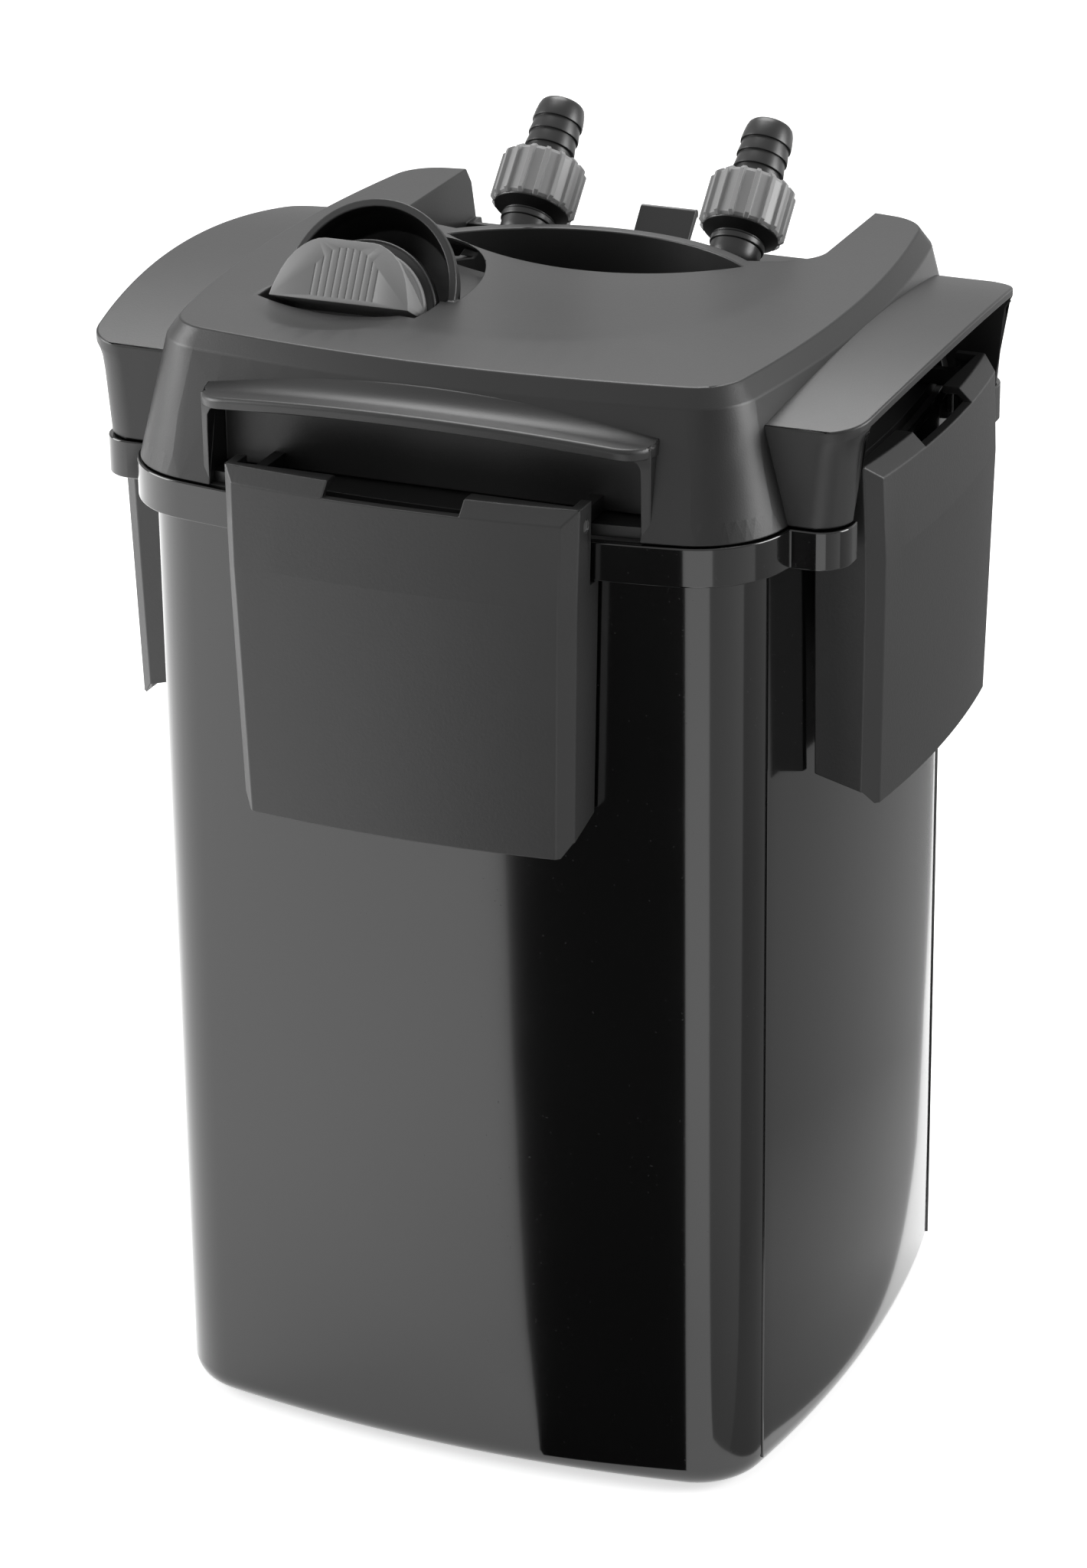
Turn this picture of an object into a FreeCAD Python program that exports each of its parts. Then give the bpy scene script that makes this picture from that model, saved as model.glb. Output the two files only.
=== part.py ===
# Canister filter for an aquarium or pond, as an assembly of separate pieces.
# Millimetres. +X is to the right, +Y to the rear and +Z up. The origin is at the
# middle of the footprint, on the surface that the feet stand on.
import FreeCAD, Part
import Sketcher
import math
import os

Vector = FreeCAD.Vector

# Driving sizes: alias, value, what it is
SIZES = [
    ("canister_half", 118.0, "half width of the canister, at the middle of a side"),
    ("side_bulge", 520.0, "radius of the bulged sides of the canister, seen from above"),
    ("corner_round", 27.0, "radius of the canister's corners"),
    ("canister_wall", 3.4, "wall of the canister"),
    ("canister_base", 2.0, "height of the canister's underside"),
    ("canister_floor", 4.0, "thickness of the canister's floor"),
    ("base_round", 9.0, "rounding of the canister's lower edge"),
    ("rest_radius", 6.0, "radius of the posts that the lowest basket stands on"),
    ("rest_inset", 40.0, "how far those posts stand inside the canister's side, both ways"),
    ("collar_step", 6.3, "how far the collar stands out from the canister"),
    ("collar_bottom", 342.5, "height of the collar's lower edge"),
    ("collar_height", 13.4, "height of the collar itself"),
    ("pad_step", 11.7, "how far the four pads of the collar stand out from it"),
    ("pad_margin", 1.0, "how far a pad reaches past the end of its hood"),
    ("pad_round", 9.0, "rounding of a pad's outer corner"),
    ("seal_inset", 2.9, "how far the canister seal lies inside the collar's outer face"),
    ("seal_width", 4.6, "width of the canister seal"),
    ("seal_height", 4.4, "height of the canister seal"),
    ("seam", 0.4, "seam between the canister and the head"),
    ("slack", 0.3, "gap between pieces that are dropped in or stand side by side"),
    ("running", 0.05, "radial clearance of pins and shafts"),
    ("foot_radius", 10.0, "radius of a rubber foot"),
    ("foot_height", 4.0, "height of a rubber foot"),
    ("foot_inset", 34.0, "how far the feet stand inside the canister's side, both ways"),
    ("basket_gap", 4.6, "gap between the canister's wall and a basket"),
    ("basket_round", 20.0, "radius of a basket's corners"),
    ("basket_wall", 2.2, "wall of a basket"),
    ("basket_room", 18.0, "room between the stacked baskets and the pump"),
    ("basket_rise", 8.0, "height of the lowest basket over the canister's floor"),
    ("basket_floor", 2.6, "thickness of a basket's floor"),
    ("slot_width", 5.0, "width of a slot in a basket's floor"),
    ("slot_pitch", 14.0, "distance between slots"),
    ("slot_half", 42.0, "half length of a slot"),
    ("slot_middle", -30.0, "place of the middle of the slots, front to rear"),
    ("bar_width", 16.0, "width of a basket's carrying bar"),
    ("bar_thickness", 4.0, "thickness of a basket's carrying bar"),
    ("pipe_radius", 11.5, "outer radius of the pipe down to the canister's floor"),
    ("pipe_bore", 9.5, "bore radius of that pipe"),
    ("hose_place", 40.0, "sideways place of each hose connector"),
    ("hose_back", 64.0, "place of the hose connectors, towards the rear"),
    ("head_inset", 1.1, "how far the head's foot lies inside the collar's outer face"),
    ("flange_inset", 4.0, "how far the head's base plate lies inside the head's foot"),
    ("flange_height", 4.0, "thickness of the head's base plate"),
    ("spigot_depth", 14.0, "how far the head's base reaches into the canister"),
    ("head_slope", 10.7, "how far the head's walls lean in below the deck's bevel"),
    ("deck_bevel", 4.5, "width of the deck's bevel"),
    ("head_rise", 42.7, "height of the head's walls below the deck's bevel"),
    ("bevel_rise", 6.0, "height of the deck's bevel"),
    ("dish_depth", 5.0, "how far the middle of the deck sinks"),
    ("dish_radius", 82.0, "radius over which the deck sinks"),
    ("head_wall", 3.0, "wall of the head's cover"),
    ("hood_drop", 6.2, "how far a side hood's crown lies below the deck's edge"),
    ("hood_rise", 9.0, "how far a side hood falls to its ends"),
    ("hood_step", 20.7, "how far a side hood stands out from the collar in its middle"),
    ("hood_bow", 7.5, "how much less it stands out at its ends"),
    ("hood_leg", 19.7, "length of a side hood's leg"),
    ("hood_round", 12.0, "rounding of a side hood's corners"),
    ("hood_margin", 3.3, "room between a side latch and the leg of its hood"),
    ("hood_thickness", 3.2, "thickness of a hood's roof"),
    ("visor_drop", 11.6, "how far the front visor's crown lies below the deck's edge"),
    ("visor_rise", 5.2, "how far the visor falls to its ends"),
    ("visor_step", 4.2, "how far the visor stands out from the collar in its middle"),
    ("visor_bow", 6.5, "how much less it stands out at its ends"),
    ("visor_margin", 17.5, "how far the visor reaches past the front latch, each way"),
    ("visor_leg", 3.6, "thickness of the visor's legs"),
    ("visor_thickness", 3.6, "thickness of the visor's roof"),
    ("recess_inset", 8.5, "how far the front and rear recesses lie inside the deck's edge"),
    ("bay_half", 79.0, "half width of the bay for the hoses"),
    ("bay_front", 38.0, "front edge of that bay"),
    ("bay_depth", 27.5, "depth of the bay below the deck's edge"),
    ("sill_height", 7.1, "height of the bay's rear sill over its floor"),
    ("bay_round", 14.0, "rounding of the bay's front corners"),
    ("grip_back", 60.0, "rear face of the carrying bar in the deck, in the middle"),
    ("grip_bar", 4.0, "thickness of the carrying bar in the deck"),
    ("grip_end", 56.0, "half length of the finger recess"),
    ("grip_end_back", 37.0, "rear face of the bar at the recess's ends"),
    ("recess_front", 17.0, "front edge of the finger recess, in the middle"),
    ("recess_front_end", 32.0, "front edge of the finger recess at its ends"),
    ("recess_depth", 27.0, "depth of the finger recess below the deck's edge"),
    ("knob_across", -55.5, "sideways place of the knob"),
    ("knob_front", -60.0, "place of the knob's face, front to rear"),
    ("knob_drop", 1.0, "how far the knob's axis lies below the deck's edge at its face"),
    ("knob_lean", 60.0, "angle of the knob's axis from upright"),
    ("knob_radius", 28.0, "radius of the knob's drum"),
    ("knob_drum", 8.0, "thickness of the knob's drum"),
    ("grip_radius", 26.0, "radius of the knob's D-shaped grip"),
    ("grip_top", 22.5, "height of the grip above the knob's axis"),
    ("grip_root", 8.0, "how far the grip reaches below the knob's axis"),
    ("grip_depth", 12.0, "how far the grip stands out of the drum"),
    ("grip_thickness", 2.6, "thickness of the grip's upper part"),
    ("grip_slope", 14.0, "height at which the grip's slope ends"),
    ("grip_round", 6.0, "rounding of the grip's shoulders"),
    ("knob_play", 1.0, "gap round the knob"),
    ("scoop_radius", 26.0, "radius of the shallow scoop in front of the knob"),
    ("scoop_depth", 2.5, "depth of that scoop"),
    ("bowl_radius", 32.0, "outer radius of the bowl behind the knob"),
    ("bowl_wall", 2.8, "wall of that bowl"),
    ("bowl_lip", 3.2, "width of the bowl's rim"),
    ("bowl_rise", 10.8, "how far the bowl's middle lies above the knob's axis"),
    ("bowl_back", 22.7, "how far the bowl's rim lies behind the knob's face"),
    ("bowl_depth", 22.0, "depth of the bowl behind its rim"),
    ("moat_depth", 12.0, "depth of the moat round the bowl below the deck's edge"),
    ("spindle_radius", 4.0, "radius of the knob's spindle"),
    ("gate_radius", 10.0, "radius of the flow gate on the spindle"),
    ("gate_thickness", 3.0, "thickness of the flow gate"),
    ("gate_place", 66.0, "distance of the gate's lower face behind the knob's face"),
    ("gate_wall", 2.5, "wall of the gate's chamber"),
    ("port_radius", 3.6, "radius of the port that the gate covers"),
    ("latch_half", 63.0, "half width of a latch at its top"),
    ("latch_low_half", 59.8, "half width of a latch at its foot"),
    ("latch_inset", 1.6, "how far a latch's face lies inside a side hood's reach"),
    ("latch_bow", 470.0, "radius of the bowed face of a latch"),
    ("latch_rise", 7.3, "how far a latch reaches above its pins"),
    ("latch_drop", 92.5, "how far a latch reaches below the collar"),
    ("bend_drop", 7.5, "how far the slight bend in a latch's face lies below the collar"),
    ("latch_low_lean", 1.35, "how far the face leans in below that bend, in degrees"),
    ("latch_high_lean", 2.2, "how far the face leans in above that bend, in degrees"),
    ("latch_bevel", 4.6, "bevel round a latch's face"),
    ("latch_wall", 2.6, "wall of a latch"),
    ("latch_notch", 24.2, "half width of the notch in a latch's upper edge"),
    ("latch_roof", 12.4, "how far a latch's top wall reaches in from its face"),
    ("latch_overlap", 0.7, "how far a latch's flanges reach in over the collar's outer face"),
    ("latch_hook", 1.4, "how far a latch's hooks reach in over the canister's side"),
    ("latch_heel", 9.3, "height of the flanges' lower inner corner over the latch's foot"),
    ("latch_lip_inset", 6.6, "how far the lip at a latch's foot lies inside its face"),
    ("latch_step", 4.8, "height of that lip"),
    ("latch_step_in", 3.4, "how far the flanges reach in over that lip"),
    ("pivot_step", 3.7, "how far a latch's pins lie outside the collar"),
    ("pivot_rise", 8.1, "height of a latch's pins over the collar"),
    ("pin_radius", 2.0, "radius of a latch's pin"),
    ("ear_width", 4.0, "width of an ear that holds a latch's pin"),
    ("ear_radius", 4.0, "radius of such an ear"),
    ("block_half", 66.0, "half width of the hose block"),
    ("block_height", 8.0, "thickness of the hose block's plate"),
    ("stub_radius", 9.2, "outer radius of the stubs on the hose block"),
    ("stub_bore", 6.5, "bore radius of the stubs"),
    ("thread_radius", 11.3, "radius of a stub's thread"),
    ("thread_length", 12.0, "length of a stub's thread"),
    ("spigot_radius", 12.0, "outer radius of the spigots under the hose block"),
    ("spigot_reach", 31.5, "how far the spigots under the hose block reach below the bay's floor"),
    ("seal_section", 1.5, "half thickness of the round seals"),
    ("hose_lean", 45.0, "how far the hose connectors lean back"),
    ("elbow_drop", 9.5, "how far the bend in a stub lies below the deck's edge"),
    ("nut_start", 9.0, "distance of a union nut from the bend"),
    ("nut_length", 20.0, "length of a union nut"),
    ("nut_radius", 14.7, "radius of a union nut between its ribs"),
    ("nut_rib", 0.9, "height of the ribs on a union nut"),
    ("nut_rib_width", 1.5, "width of those ribs"),
    ("nut_lip", 3.0, "thickness of a union nut's upper lip"),
    ("washer", 1.2, "thickness of the washer in a union nut"),
    ("barb_radius", 8.9, "radius of the hose tail over its barbs"),
    ("barb_neck", 7.9, "radius of the hose tail between its barbs"),
    ("barb_pitch", 5.4, "length of a barb"),
    ("barb_land", 0.8, "length of a barb's full width"),
    ("tail_bore", 5.4, "bore radius of a hose tail"),
    ("tail_length", 23.5, "length of a hose tail beyond its nut"),
    ("slide_half", 12.7, "half width of the release slide"),
    ("slide_thickness", 2.4, "thickness of the release slide"),
    ("slide_front", 84.0, "front end of the release slide"),
    ("slide_travel", 5.0, "travel of the release slide"),
    ("tab_half", 10.7, "half width of the release slide's tab"),
    ("tab_thickness", 2.2, "thickness of that tab"),
    ("tab_height", 17.0, "height of that tab above the slide"),
    ("tab_lean", 15.3, "how far that tab leans back at its top"),
    ("tab_inset", 8.5, "how far the tab's upper edge lies inside the deck's rear edge"),
    ("pump_across", 22.0, "sideways place of the motor"),
    ("pump_back", -26.0, "place of the motor, front to rear"),
    ("motor_radius", 34.0, "radius of the motor's housing"),
    ("motor_wall", 2.5, "wall of the motor's housing"),
    ("motor_height", 28.7, "height of the motor's housing over the base plate"),
    ("motor_neck", 21.6, "radius of the motor's neck in the head's base"),
    ("motor_flange", 42.0, "radius of the motor's flange"),
    ("flange_thickness", 4.0, "thickness of the motor's flange"),
    ("well_radius", 16.6, "radius of the well that the rotor turns in"),
    ("well_wall", 2.0, "wall of that well"),
    ("well_drop", 7.0, "how far the well's inner end lies below the housing's top"),
    ("rotor_radius", 15.8, "radius of the rotor's magnet"),
    ("rotor_length", 30.8, "length of the magnet"),
    ("rotor_gap", 4.2, "gap between the magnet and the well's inner end"),
    ("core_width", 14.0, "width of the stator's poles"),
    ("core_height", 16.0, "height of the stator's core"),
    ("core_rise", 5.7, "height of the stator's core over the base plate"),
    ("yoke_radius", 31.2, "outer radius of the stator's yoke"),
    ("yoke_width", 3.4, "width of that yoke"),
    ("coil_thickness", 4.0, "thickness of a coil"),
    ("shaft_radius", 2.5, "radius of the impeller's shaft"),
    ("bush_radius", 5.0, "radius of the bushes that hold the shaft"),
    ("bush_height", 3.6, "height of those bushes"),
    ("impeller_radius", 30.0, "radius over the impeller's blades"),
    ("impeller_rise", 5.0, "height of the impeller over the pump chamber's lower end"),
    ("impeller_height", 16.0, "height of the impeller's blades"),
    ("hub_radius", 8.0, "radius of the impeller's hub"),
    ("blade_thickness", 2.4, "thickness of an impeller blade"),
    ("pump_radius", 42.0, "outer radius of the pump chamber"),
    ("pump_bore", 36.0, "bore radius of the pump chamber"),
    ("pump_height", 24.0, "height of the pump chamber inside"),
    ("roof_drop", 16.3, "how far the pump chamber's roof lies below the head's foot"),
    ("ear_place", 45.0, "distance of the pump cover's screws from the shaft"),
    ("cover_ear", 4.6, "radius of the ears for those screws"),
    ("cover_plate", 3.0, "thickness of the pump chamber's cover"),
    ("inlet_radius", 17.0, "radius of the inlet in the pump's cover"),
    ("spoke_width", 3.0, "width of the spokes across that inlet"),
    ("duct_radius", 8.0, "bore radius of the duct from the pump to its socket"),
    ("duct_rise", 1.0, "height of that duct over the pump chamber's roof"),
    ("socket_wall", 3.6, "wall of the sockets for the hose block"),
    ("socket_drop", 11.0, "how far the sockets for the hose block reach below that duct"),
    ("screw_radius", 1.6, "radius of a screw's shank"),
    ("screw_head", 3.0, "radius of a screw's head"),
    ("screw_head_height", 2.2, "height of a screw's head"),
    ("screw_length", 12.0, "length of a screw's shank"),
    ("boss_inset", 31.2, "how far the cover's screws lie inside the head's foot, both ways"),
    ("cover_turn", 80.0, "turn of the pump cover's screws about the shaft"),
    ("motor_turn", 45.0, "turn of the motor's screws about the shaft"),
    ("boss_radius", 5.5, "radius of the bosses for those screws"),
    ("gland_across", 90.0, "sideways place of the cable gland"),
    ("gland_rise", 14.1, "height of the cable gland over the collar"),
    ("gland_radius", 6.0, "radius of the cable gland"),
    ("gland_bore", 3.2, "bore radius of the cable gland"),
    ("gland_inset", 6.2, "how far the gland's outer end lies inside the head's foot"),
]
BASKETS = 4
SLOTS = 7
BLADES = 6
NUT_RIBS = 18
BARBS = 4


class Size:
    """A length or an angle that keeps both its number and its sheet expression."""

    def __init__(self, value, text):
        self.value = float(value)
        self.text = text

    @staticmethod
    def of(other):
        return other if isinstance(other, Size) else Size(other, repr(float(other)))

    def __add__(self, other):
        other = Size.of(other)
        return Size(self.value + other.value, f"({self.text} + {other.text})")

    def __sub__(self, other):
        other = Size.of(other)
        return Size(self.value - other.value, f"({self.text} - {other.text})")

    def __mul__(self, other):
        other = Size.of(other)
        return Size(self.value * other.value, f"({self.text} * {other.text})")

    def __truediv__(self, other):
        other = Size.of(other)
        return Size(self.value / other.value, f"({self.text} / {other.text})")

    def __radd__(self, other):
        return Size.of(other) + self

    def __rsub__(self, other):
        return Size.of(other) - self

    def __rmul__(self, other):
        return Size.of(other) * self

    def __neg__(self):
        return Size(-self.value, f"(-{self.text})")


def sine(angle):
    return Size(math.sin(math.radians(angle.value)), f"sin({angle.text} * 1 deg)")


def cosine(angle):
    return Size(math.cos(math.radians(angle.value)), f"cos({angle.text} * 1 deg)")


def root(area):
    return Size(math.sqrt(area.value), f"sqrt({area.text})")


def arc_radius(half_chord, rise):
    """Radius of the arc that rises by `rise` over a chord of twice `half_chord`."""
    return (half_chord * half_chord + rise * rise) / (2 * rise)


class Sizes:
    """The driving sizes by name."""


doc = FreeCAD.newDocument("CanisterFilter")
sheet = doc.addObject("Spreadsheet::Sheet", "Sizes")
size = Sizes()
for row, (alias, value, meaning) in enumerate(SIZES, start=1):
    sheet.set(f"A{row}", meaning)
    sheet.set(f"B{row}", str(value))
    sheet.setAlias(f"B{row}", alias)
    setattr(size, alias, Size(value, f"Sizes.{alias}"))
doc.recompute()

# Places that follow from the driving sizes. Sideways ones are half widths from the middle.

size.rest_place = size.canister_half - size.rest_inset
size.foot_place = size.canister_half - size.foot_inset
size.basket_half = size.canister_half - size.canister_wall - size.basket_gap
size.collar_half = size.canister_half + size.collar_step
size.collar_top = size.collar_bottom + size.collar_height
size.pad_reach = size.collar_half + size.pad_step
size.seal_half = size.collar_half - size.seal_inset
size.head_half = size.collar_half - size.head_inset
size.flange_half = size.head_half - size.flange_inset
size.deck_half = size.head_half - size.head_slope
size.deck_edge_half = size.deck_half - size.deck_bevel
size.recess_wall = size.deck_half - size.recess_inset
size.hood_gap_half = size.latch_half + size.hood_margin
size.hood_half = size.hood_gap_half + size.hood_leg
size.pad_near = size.hood_gap_half + size.slack
size.pad_far = size.hood_half + size.pad_margin
size.visor_half = size.latch_half + size.visor_margin
size.hood_reach = size.collar_half + size.hood_step
size.visor_reach = size.collar_half + size.visor_step
size.latch_face = size.hood_reach - size.latch_inset
size.latch_lip = size.latch_face - size.latch_roof
size.latch_tip = size.latch_face - size.latch_lip_inset
size.latch_waist = size.collar_half - size.latch_overlap
size.latch_inner = size.canister_half - size.latch_hook
size.pivot_place = size.collar_half + size.pivot_step
size.boss_place = size.head_half - size.boss_inset
size.gland_end = size.head_half - size.gland_inset
size.tab_back = size.deck_half - size.tab_inset

# Heights that follow from the driving sizes, from the collar upwards and then downwards

head_bottom = size.collar_top + size.seam
size.flange_top = head_bottom + size.flange_height
size.deck_low = head_bottom + size.head_rise
size.deck_top = size.deck_low + size.bevel_rise
size.hood_crown = size.deck_top - size.hood_drop
size.visor_crown = size.deck_top - size.visor_drop
size.bay_floor = size.deck_top - size.bay_depth
size.bay_sill = size.bay_floor + size.sill_height
size.recess_floor = size.deck_top - size.recess_depth
size.moat_floor = size.deck_top - size.moat_depth
size.knob_height = size.deck_top - size.knob_drop
size.elbow_height = size.deck_top - size.elbow_drop
size.spigot_end = size.bay_floor - size.spigot_reach
size.gland_height = size.collar_top + size.gland_rise
size.pivot_height = size.collar_top + size.pivot_rise
size.latch_top = size.pivot_height + size.latch_rise
size.latch_foot = size.collar_bottom - size.latch_drop
size.latch_bend = size.collar_bottom - size.bend_drop
size.latch_sill = size.latch_foot + size.latch_heel
size.motor_top = size.flange_top + size.motor_height
size.core_bottom = size.flange_top + size.core_rise
size.well_top = size.motor_top - size.well_drop
size.rotor_top = size.well_top - size.rotor_gap
size.rotor_bottom = size.rotor_top - size.rotor_length
size.pump_roof = head_bottom - size.roof_drop
size.pump_bottom = size.pump_roof - size.pump_height
size.impeller_bottom = size.pump_bottom + size.impeller_rise
size.duct_height = size.pump_roof + size.duct_rise
size.socket_bottom = size.duct_height - size.socket_drop
size.basket_first = size.canister_base + size.canister_floor + size.basket_rise
size.basket_height = (size.pump_bottom - size.basket_room - size.basket_first) / BASKETS

parts = []


def keep(label, item):
    """Names the finished object of a sub-part."""
    item.Label = label
    parts.append(item)
    return item


# Helpers that make one object each, with its sizes bound to the sheet

def bind(item, prop, length):
    item.setExpression(prop, Size.of(length).text)


def place(item, x=0, y=0, z=0, axis=None, angle=0):
    """Turns an object about an axis through its own origin, then moves it."""
    here = Vector(Size.of(x).value, Size.of(y).value, Size.of(z).value)
    turn = Size.of(angle)
    item.Placement = FreeCAD.Placement(here, FreeCAD.Rotation(axis or Vector(0, 0, 1), turn.value))
    for name, length in (("x", x), ("y", y), ("z", z)):
        if isinstance(length, Size):
            bind(item, f"Placement.Base.{name}", length)
    if isinstance(angle, Size):
        item.setExpression("Placement.Rotation.Angle", f"{turn.text} * 1 deg")
    return item


def box(x, y, z):
    """A box from pairs of limits."""
    item = doc.addObject("Part::Box", "Box")
    for prop, (low, high) in (("Length", x), ("Width", y), ("Height", z)):
        span = Size.of(high) - Size.of(low)
        setattr(item, prop, span.value)
        bind(item, prop, span)
    return place(item, Size.of(x[0]), Size.of(y[0]), Size.of(z[0]))


def rod(radius, length, x=0, y=0, z=0, axis=None, angle=0):
    """A cylinder that starts at a point and runs up, or along another axis once turned."""
    item = doc.addObject("Part::Cylinder", "Cylinder")
    for prop, span in (("Radius", Size.of(radius)), ("Height", Size.of(length))):
        setattr(item, prop, span.value)
        bind(item, prop, span)
    return place(item, x, y, z, axis, angle)


def cut(base, *tools):
    """One object less others."""
    item = doc.addObject("Part::Cut", "Cut")
    item.Base = base
    item.Tool = tools[0] if len(tools) == 1 else join(*tools)
    return item


def join(*pieces):
    """Several objects as one."""
    item = doc.addObject("Part::MultiFuse", "Fuse")
    item.Shapes = list(pieces)
    return item


def overlap(*pieces):
    """What several objects share."""
    item = doc.addObject("Part::MultiCommon", "Common")
    item.Shapes = list(pieces)
    return item


def group(*pieces):
    """Separate solids that form one node."""
    item = doc.addObject("Part::Compound", "Group")
    item.Links = list(pieces)
    return item


def mirror(source, normal):
    """An object's mirror image in a plane through the origin."""
    item = doc.addObject("Part::Mirroring", "Mirror")
    item.Source = source
    item.Base = Vector(0, 0, 0)
    item.Normal = normal
    return item


def trimmed(kind, source, width, wanted):
    """An object with a fillet or a chamfer on the edges for which wanted(edge) is true."""
    doc.recompute()
    item = doc.addObject(f"Part::{kind}", kind)
    item.Base = source
    item.Edges = [(number, width.value, width.value)
                  for number, edge in enumerate(source.Shape.Edges, start=1) if wanted(edge)]
    return item


def upright(edge):
    """True for a straight edge along Z."""
    first, last = edge.Vertexes[0].Point, edge.Vertexes[-1].Point
    straight = abs(first.x - last.x) + abs(first.y - last.y) < 1e-6
    return straight and abs(first.z - last.z) > 1e-3


def body_sketch(body, role="XY_Plane", height=0):
    """A sketch on one of a body's origin planes, or at a distance from it."""
    sketch = body.newObject("Sketcher::SketchObject", "Sketch")
    plane = [item for item in body.Origin.OriginFeatures if item.Role == role][0]
    sketch.AttachmentSupport = (plane, [""])
    sketch.MapMode = "FlatFace"
    if isinstance(height, Size):
        sketch.AttachmentOffset.Base = Vector(0, 0, height.value)
        bind(sketch, "AttachmentOffset.Base.z", height)
    return sketch


def fix_point(sketch, shape, point, x, y):
    """Holds a point of a sketch at a place given in sizes."""
    for kind, axis, length in (("DistanceX", -2, x), ("DistanceY", -1, y)):
        length = Size.of(length)
        if length.text == repr(0.0):
            sketch.addConstraint(Sketcher.Constraint("PointOnObject", shape, point, axis))
        else:
            number = sketch.addConstraint(Sketcher.Constraint(kind, -1, 1, shape, point, length.value))
            sketch.setExpression(f"Constraints[{number}]", length.text)


def fix_radius(sketch, shape, radius):
    number = sketch.addConstraint(Sketcher.Constraint("Radius", shape, radius.value))
    sketch.setExpression(f"Constraints[{number}]", radius.text)


def outline(sketch, points):
    """A closed outline of straight lines through points given as pairs of sizes."""
    corners = [(Size.of(x), Size.of(y)) for x, y in points]
    spots = [Vector(x.value, y.value, 0) for x, y in corners]
    count = len(spots)
    first = sketch.GeometryCount
    for number in range(count):
        line = Part.LineSegment(spots[number], spots[(number + 1) % count])
        sketch.addGeometry(line, False)
    for number in range(count):
        after = first + (number + 1) % count
        sketch.addConstraint(Sketcher.Constraint("Coincident", first + number, 2, after, 1))
    for number, (x, y) in enumerate(corners):
        fix_point(sketch, first + number, 1, x, y)


def circle(sketch, x, y, radius):
    """A circle in a sketch, placed and sized from the sheet."""
    x, y = Size.of(x), Size.of(y)
    ring = Part.Circle(Vector(x.value, y.value, 0), Vector(0, 0, 1), radius.value)
    shape = sketch.addGeometry(ring, False)
    fix_point(sketch, shape, 3, x, y)
    fix_radius(sketch, shape, radius)


def bulged_square(sketch, half, bulge, corner):
    """A square with bowed sides and round corners, eight tangent arcs about the origin."""
    back = (bulge - half).value
    reach, inner = (bulge - corner).value, back
    middle = (-inner + math.sqrt(2 * reach * reach - inner * inner)) / 2
    lean = math.atan2(middle, middle + back)
    quarter = math.pi / 2
    sides, corners = [], []
    for turn in range(4):
        spin = turn * quarter
        across = Vector(-back * math.cos(spin), -back * math.sin(spin), 0)
        side = Part.ArcOfCircle(Part.Circle(across, Vector(0, 0, 1), bulge.value),
                                spin - lean, spin + lean)
        sides.append(sketch.addGeometry(side, False))
        place_angle = spin + quarter / 2
        far = middle * math.sqrt(2)
        spot = Vector(far * math.cos(place_angle), far * math.sin(place_angle), 0)
        turned = Part.ArcOfCircle(Part.Circle(spot, Vector(0, 0, 1), corner.value),
                                  spin + lean, spin + quarter - lean)
        corners.append(sketch.addGeometry(turned, False))
    for turn in range(4):
        after = sides[(turn + 1) % 4]
        sketch.addConstraint(Sketcher.Constraint("Tangent", sides[turn], 2, corners[turn], 1))
        sketch.addConstraint(Sketcher.Constraint("Tangent", corners[turn], 2, after, 1))
    offset = half - bulge
    for turn, (x, y) in enumerate(((offset, 0), (0, offset), (-offset, 0), (0, -offset))):
        fix_point(sketch, sides[turn], 3, x, y)
    fix_radius(sketch, sides[0], bulge)
    fix_radius(sketch, corners[0], corner)
    for turn in range(1, 4):
        sketch.addConstraint(Sketcher.Constraint("Equal", sides[0], sides[turn]))
        sketch.addConstraint(Sketcher.Constraint("Equal", corners[0], corners[turn]))


def pad(body, sketch, length, kind="PartDesign::Pad"):
    """A pad or a pocket of a sketch."""
    item = body.newObject(kind, kind.split("::")[1])
    item.Profile = sketch
    item.Length = Size.of(length).value
    bind(item, "Length", length)
    sketch.Visibility = False
    return item


def prism(low, high, draw):
    """A body padded between two heights from a sketch that draw(sketch) fills."""
    body = doc.addObject("PartDesign::Body", "Body")
    sketch = body_sketch(body, height=Size.of(low))
    draw(sketch)
    pad(body, sketch, Size.of(high) - Size.of(low))
    return body


def square_prism(low, high, inset=0, half=None):
    """A prism with the canister's bulged outline, drawn in by `inset`."""
    half = (half or size.canister_half) - inset
    shrink = size.canister_half - half
    bulge, corner = size.side_bulge - shrink, size.corner_round - shrink
    return prism(low, high, lambda sketch: bulged_square(sketch, half, bulge, corner))


def square_loft(low, low_half, high, high_half):
    """The bulged outline at one height blended into it at another."""
    body = doc.addObject("PartDesign::Body", "Body")
    ends = []
    for height, half in ((low, low_half), (high, high_half)):
        shrink = size.canister_half - half
        sketch = body_sketch(body, height=Size.of(height))
        bulged_square(sketch, half, size.side_bulge - shrink, size.corner_round - shrink)
        ends.append(sketch)
    loft = body.newObject("PartDesign::AdditiveLoft", "Loft")
    loft.Profile = ends[0]
    loft.Sections = ends[1:]
    loft.Ruled = True
    return body


def turned(points):
    """A body turned about the Z axis from an outline of (radius, height) pairs."""
    body = doc.addObject("PartDesign::Body", "Body")
    sketch = body_sketch(body, "XZ_Plane")
    outline(sketch, points)
    spin = body.newObject("PartDesign::Revolution", "Revolution")
    spin.Profile = sketch
    spin.ReferenceAxis = (sketch, ["V_Axis"])
    spin.Angle = 360
    return body


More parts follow.
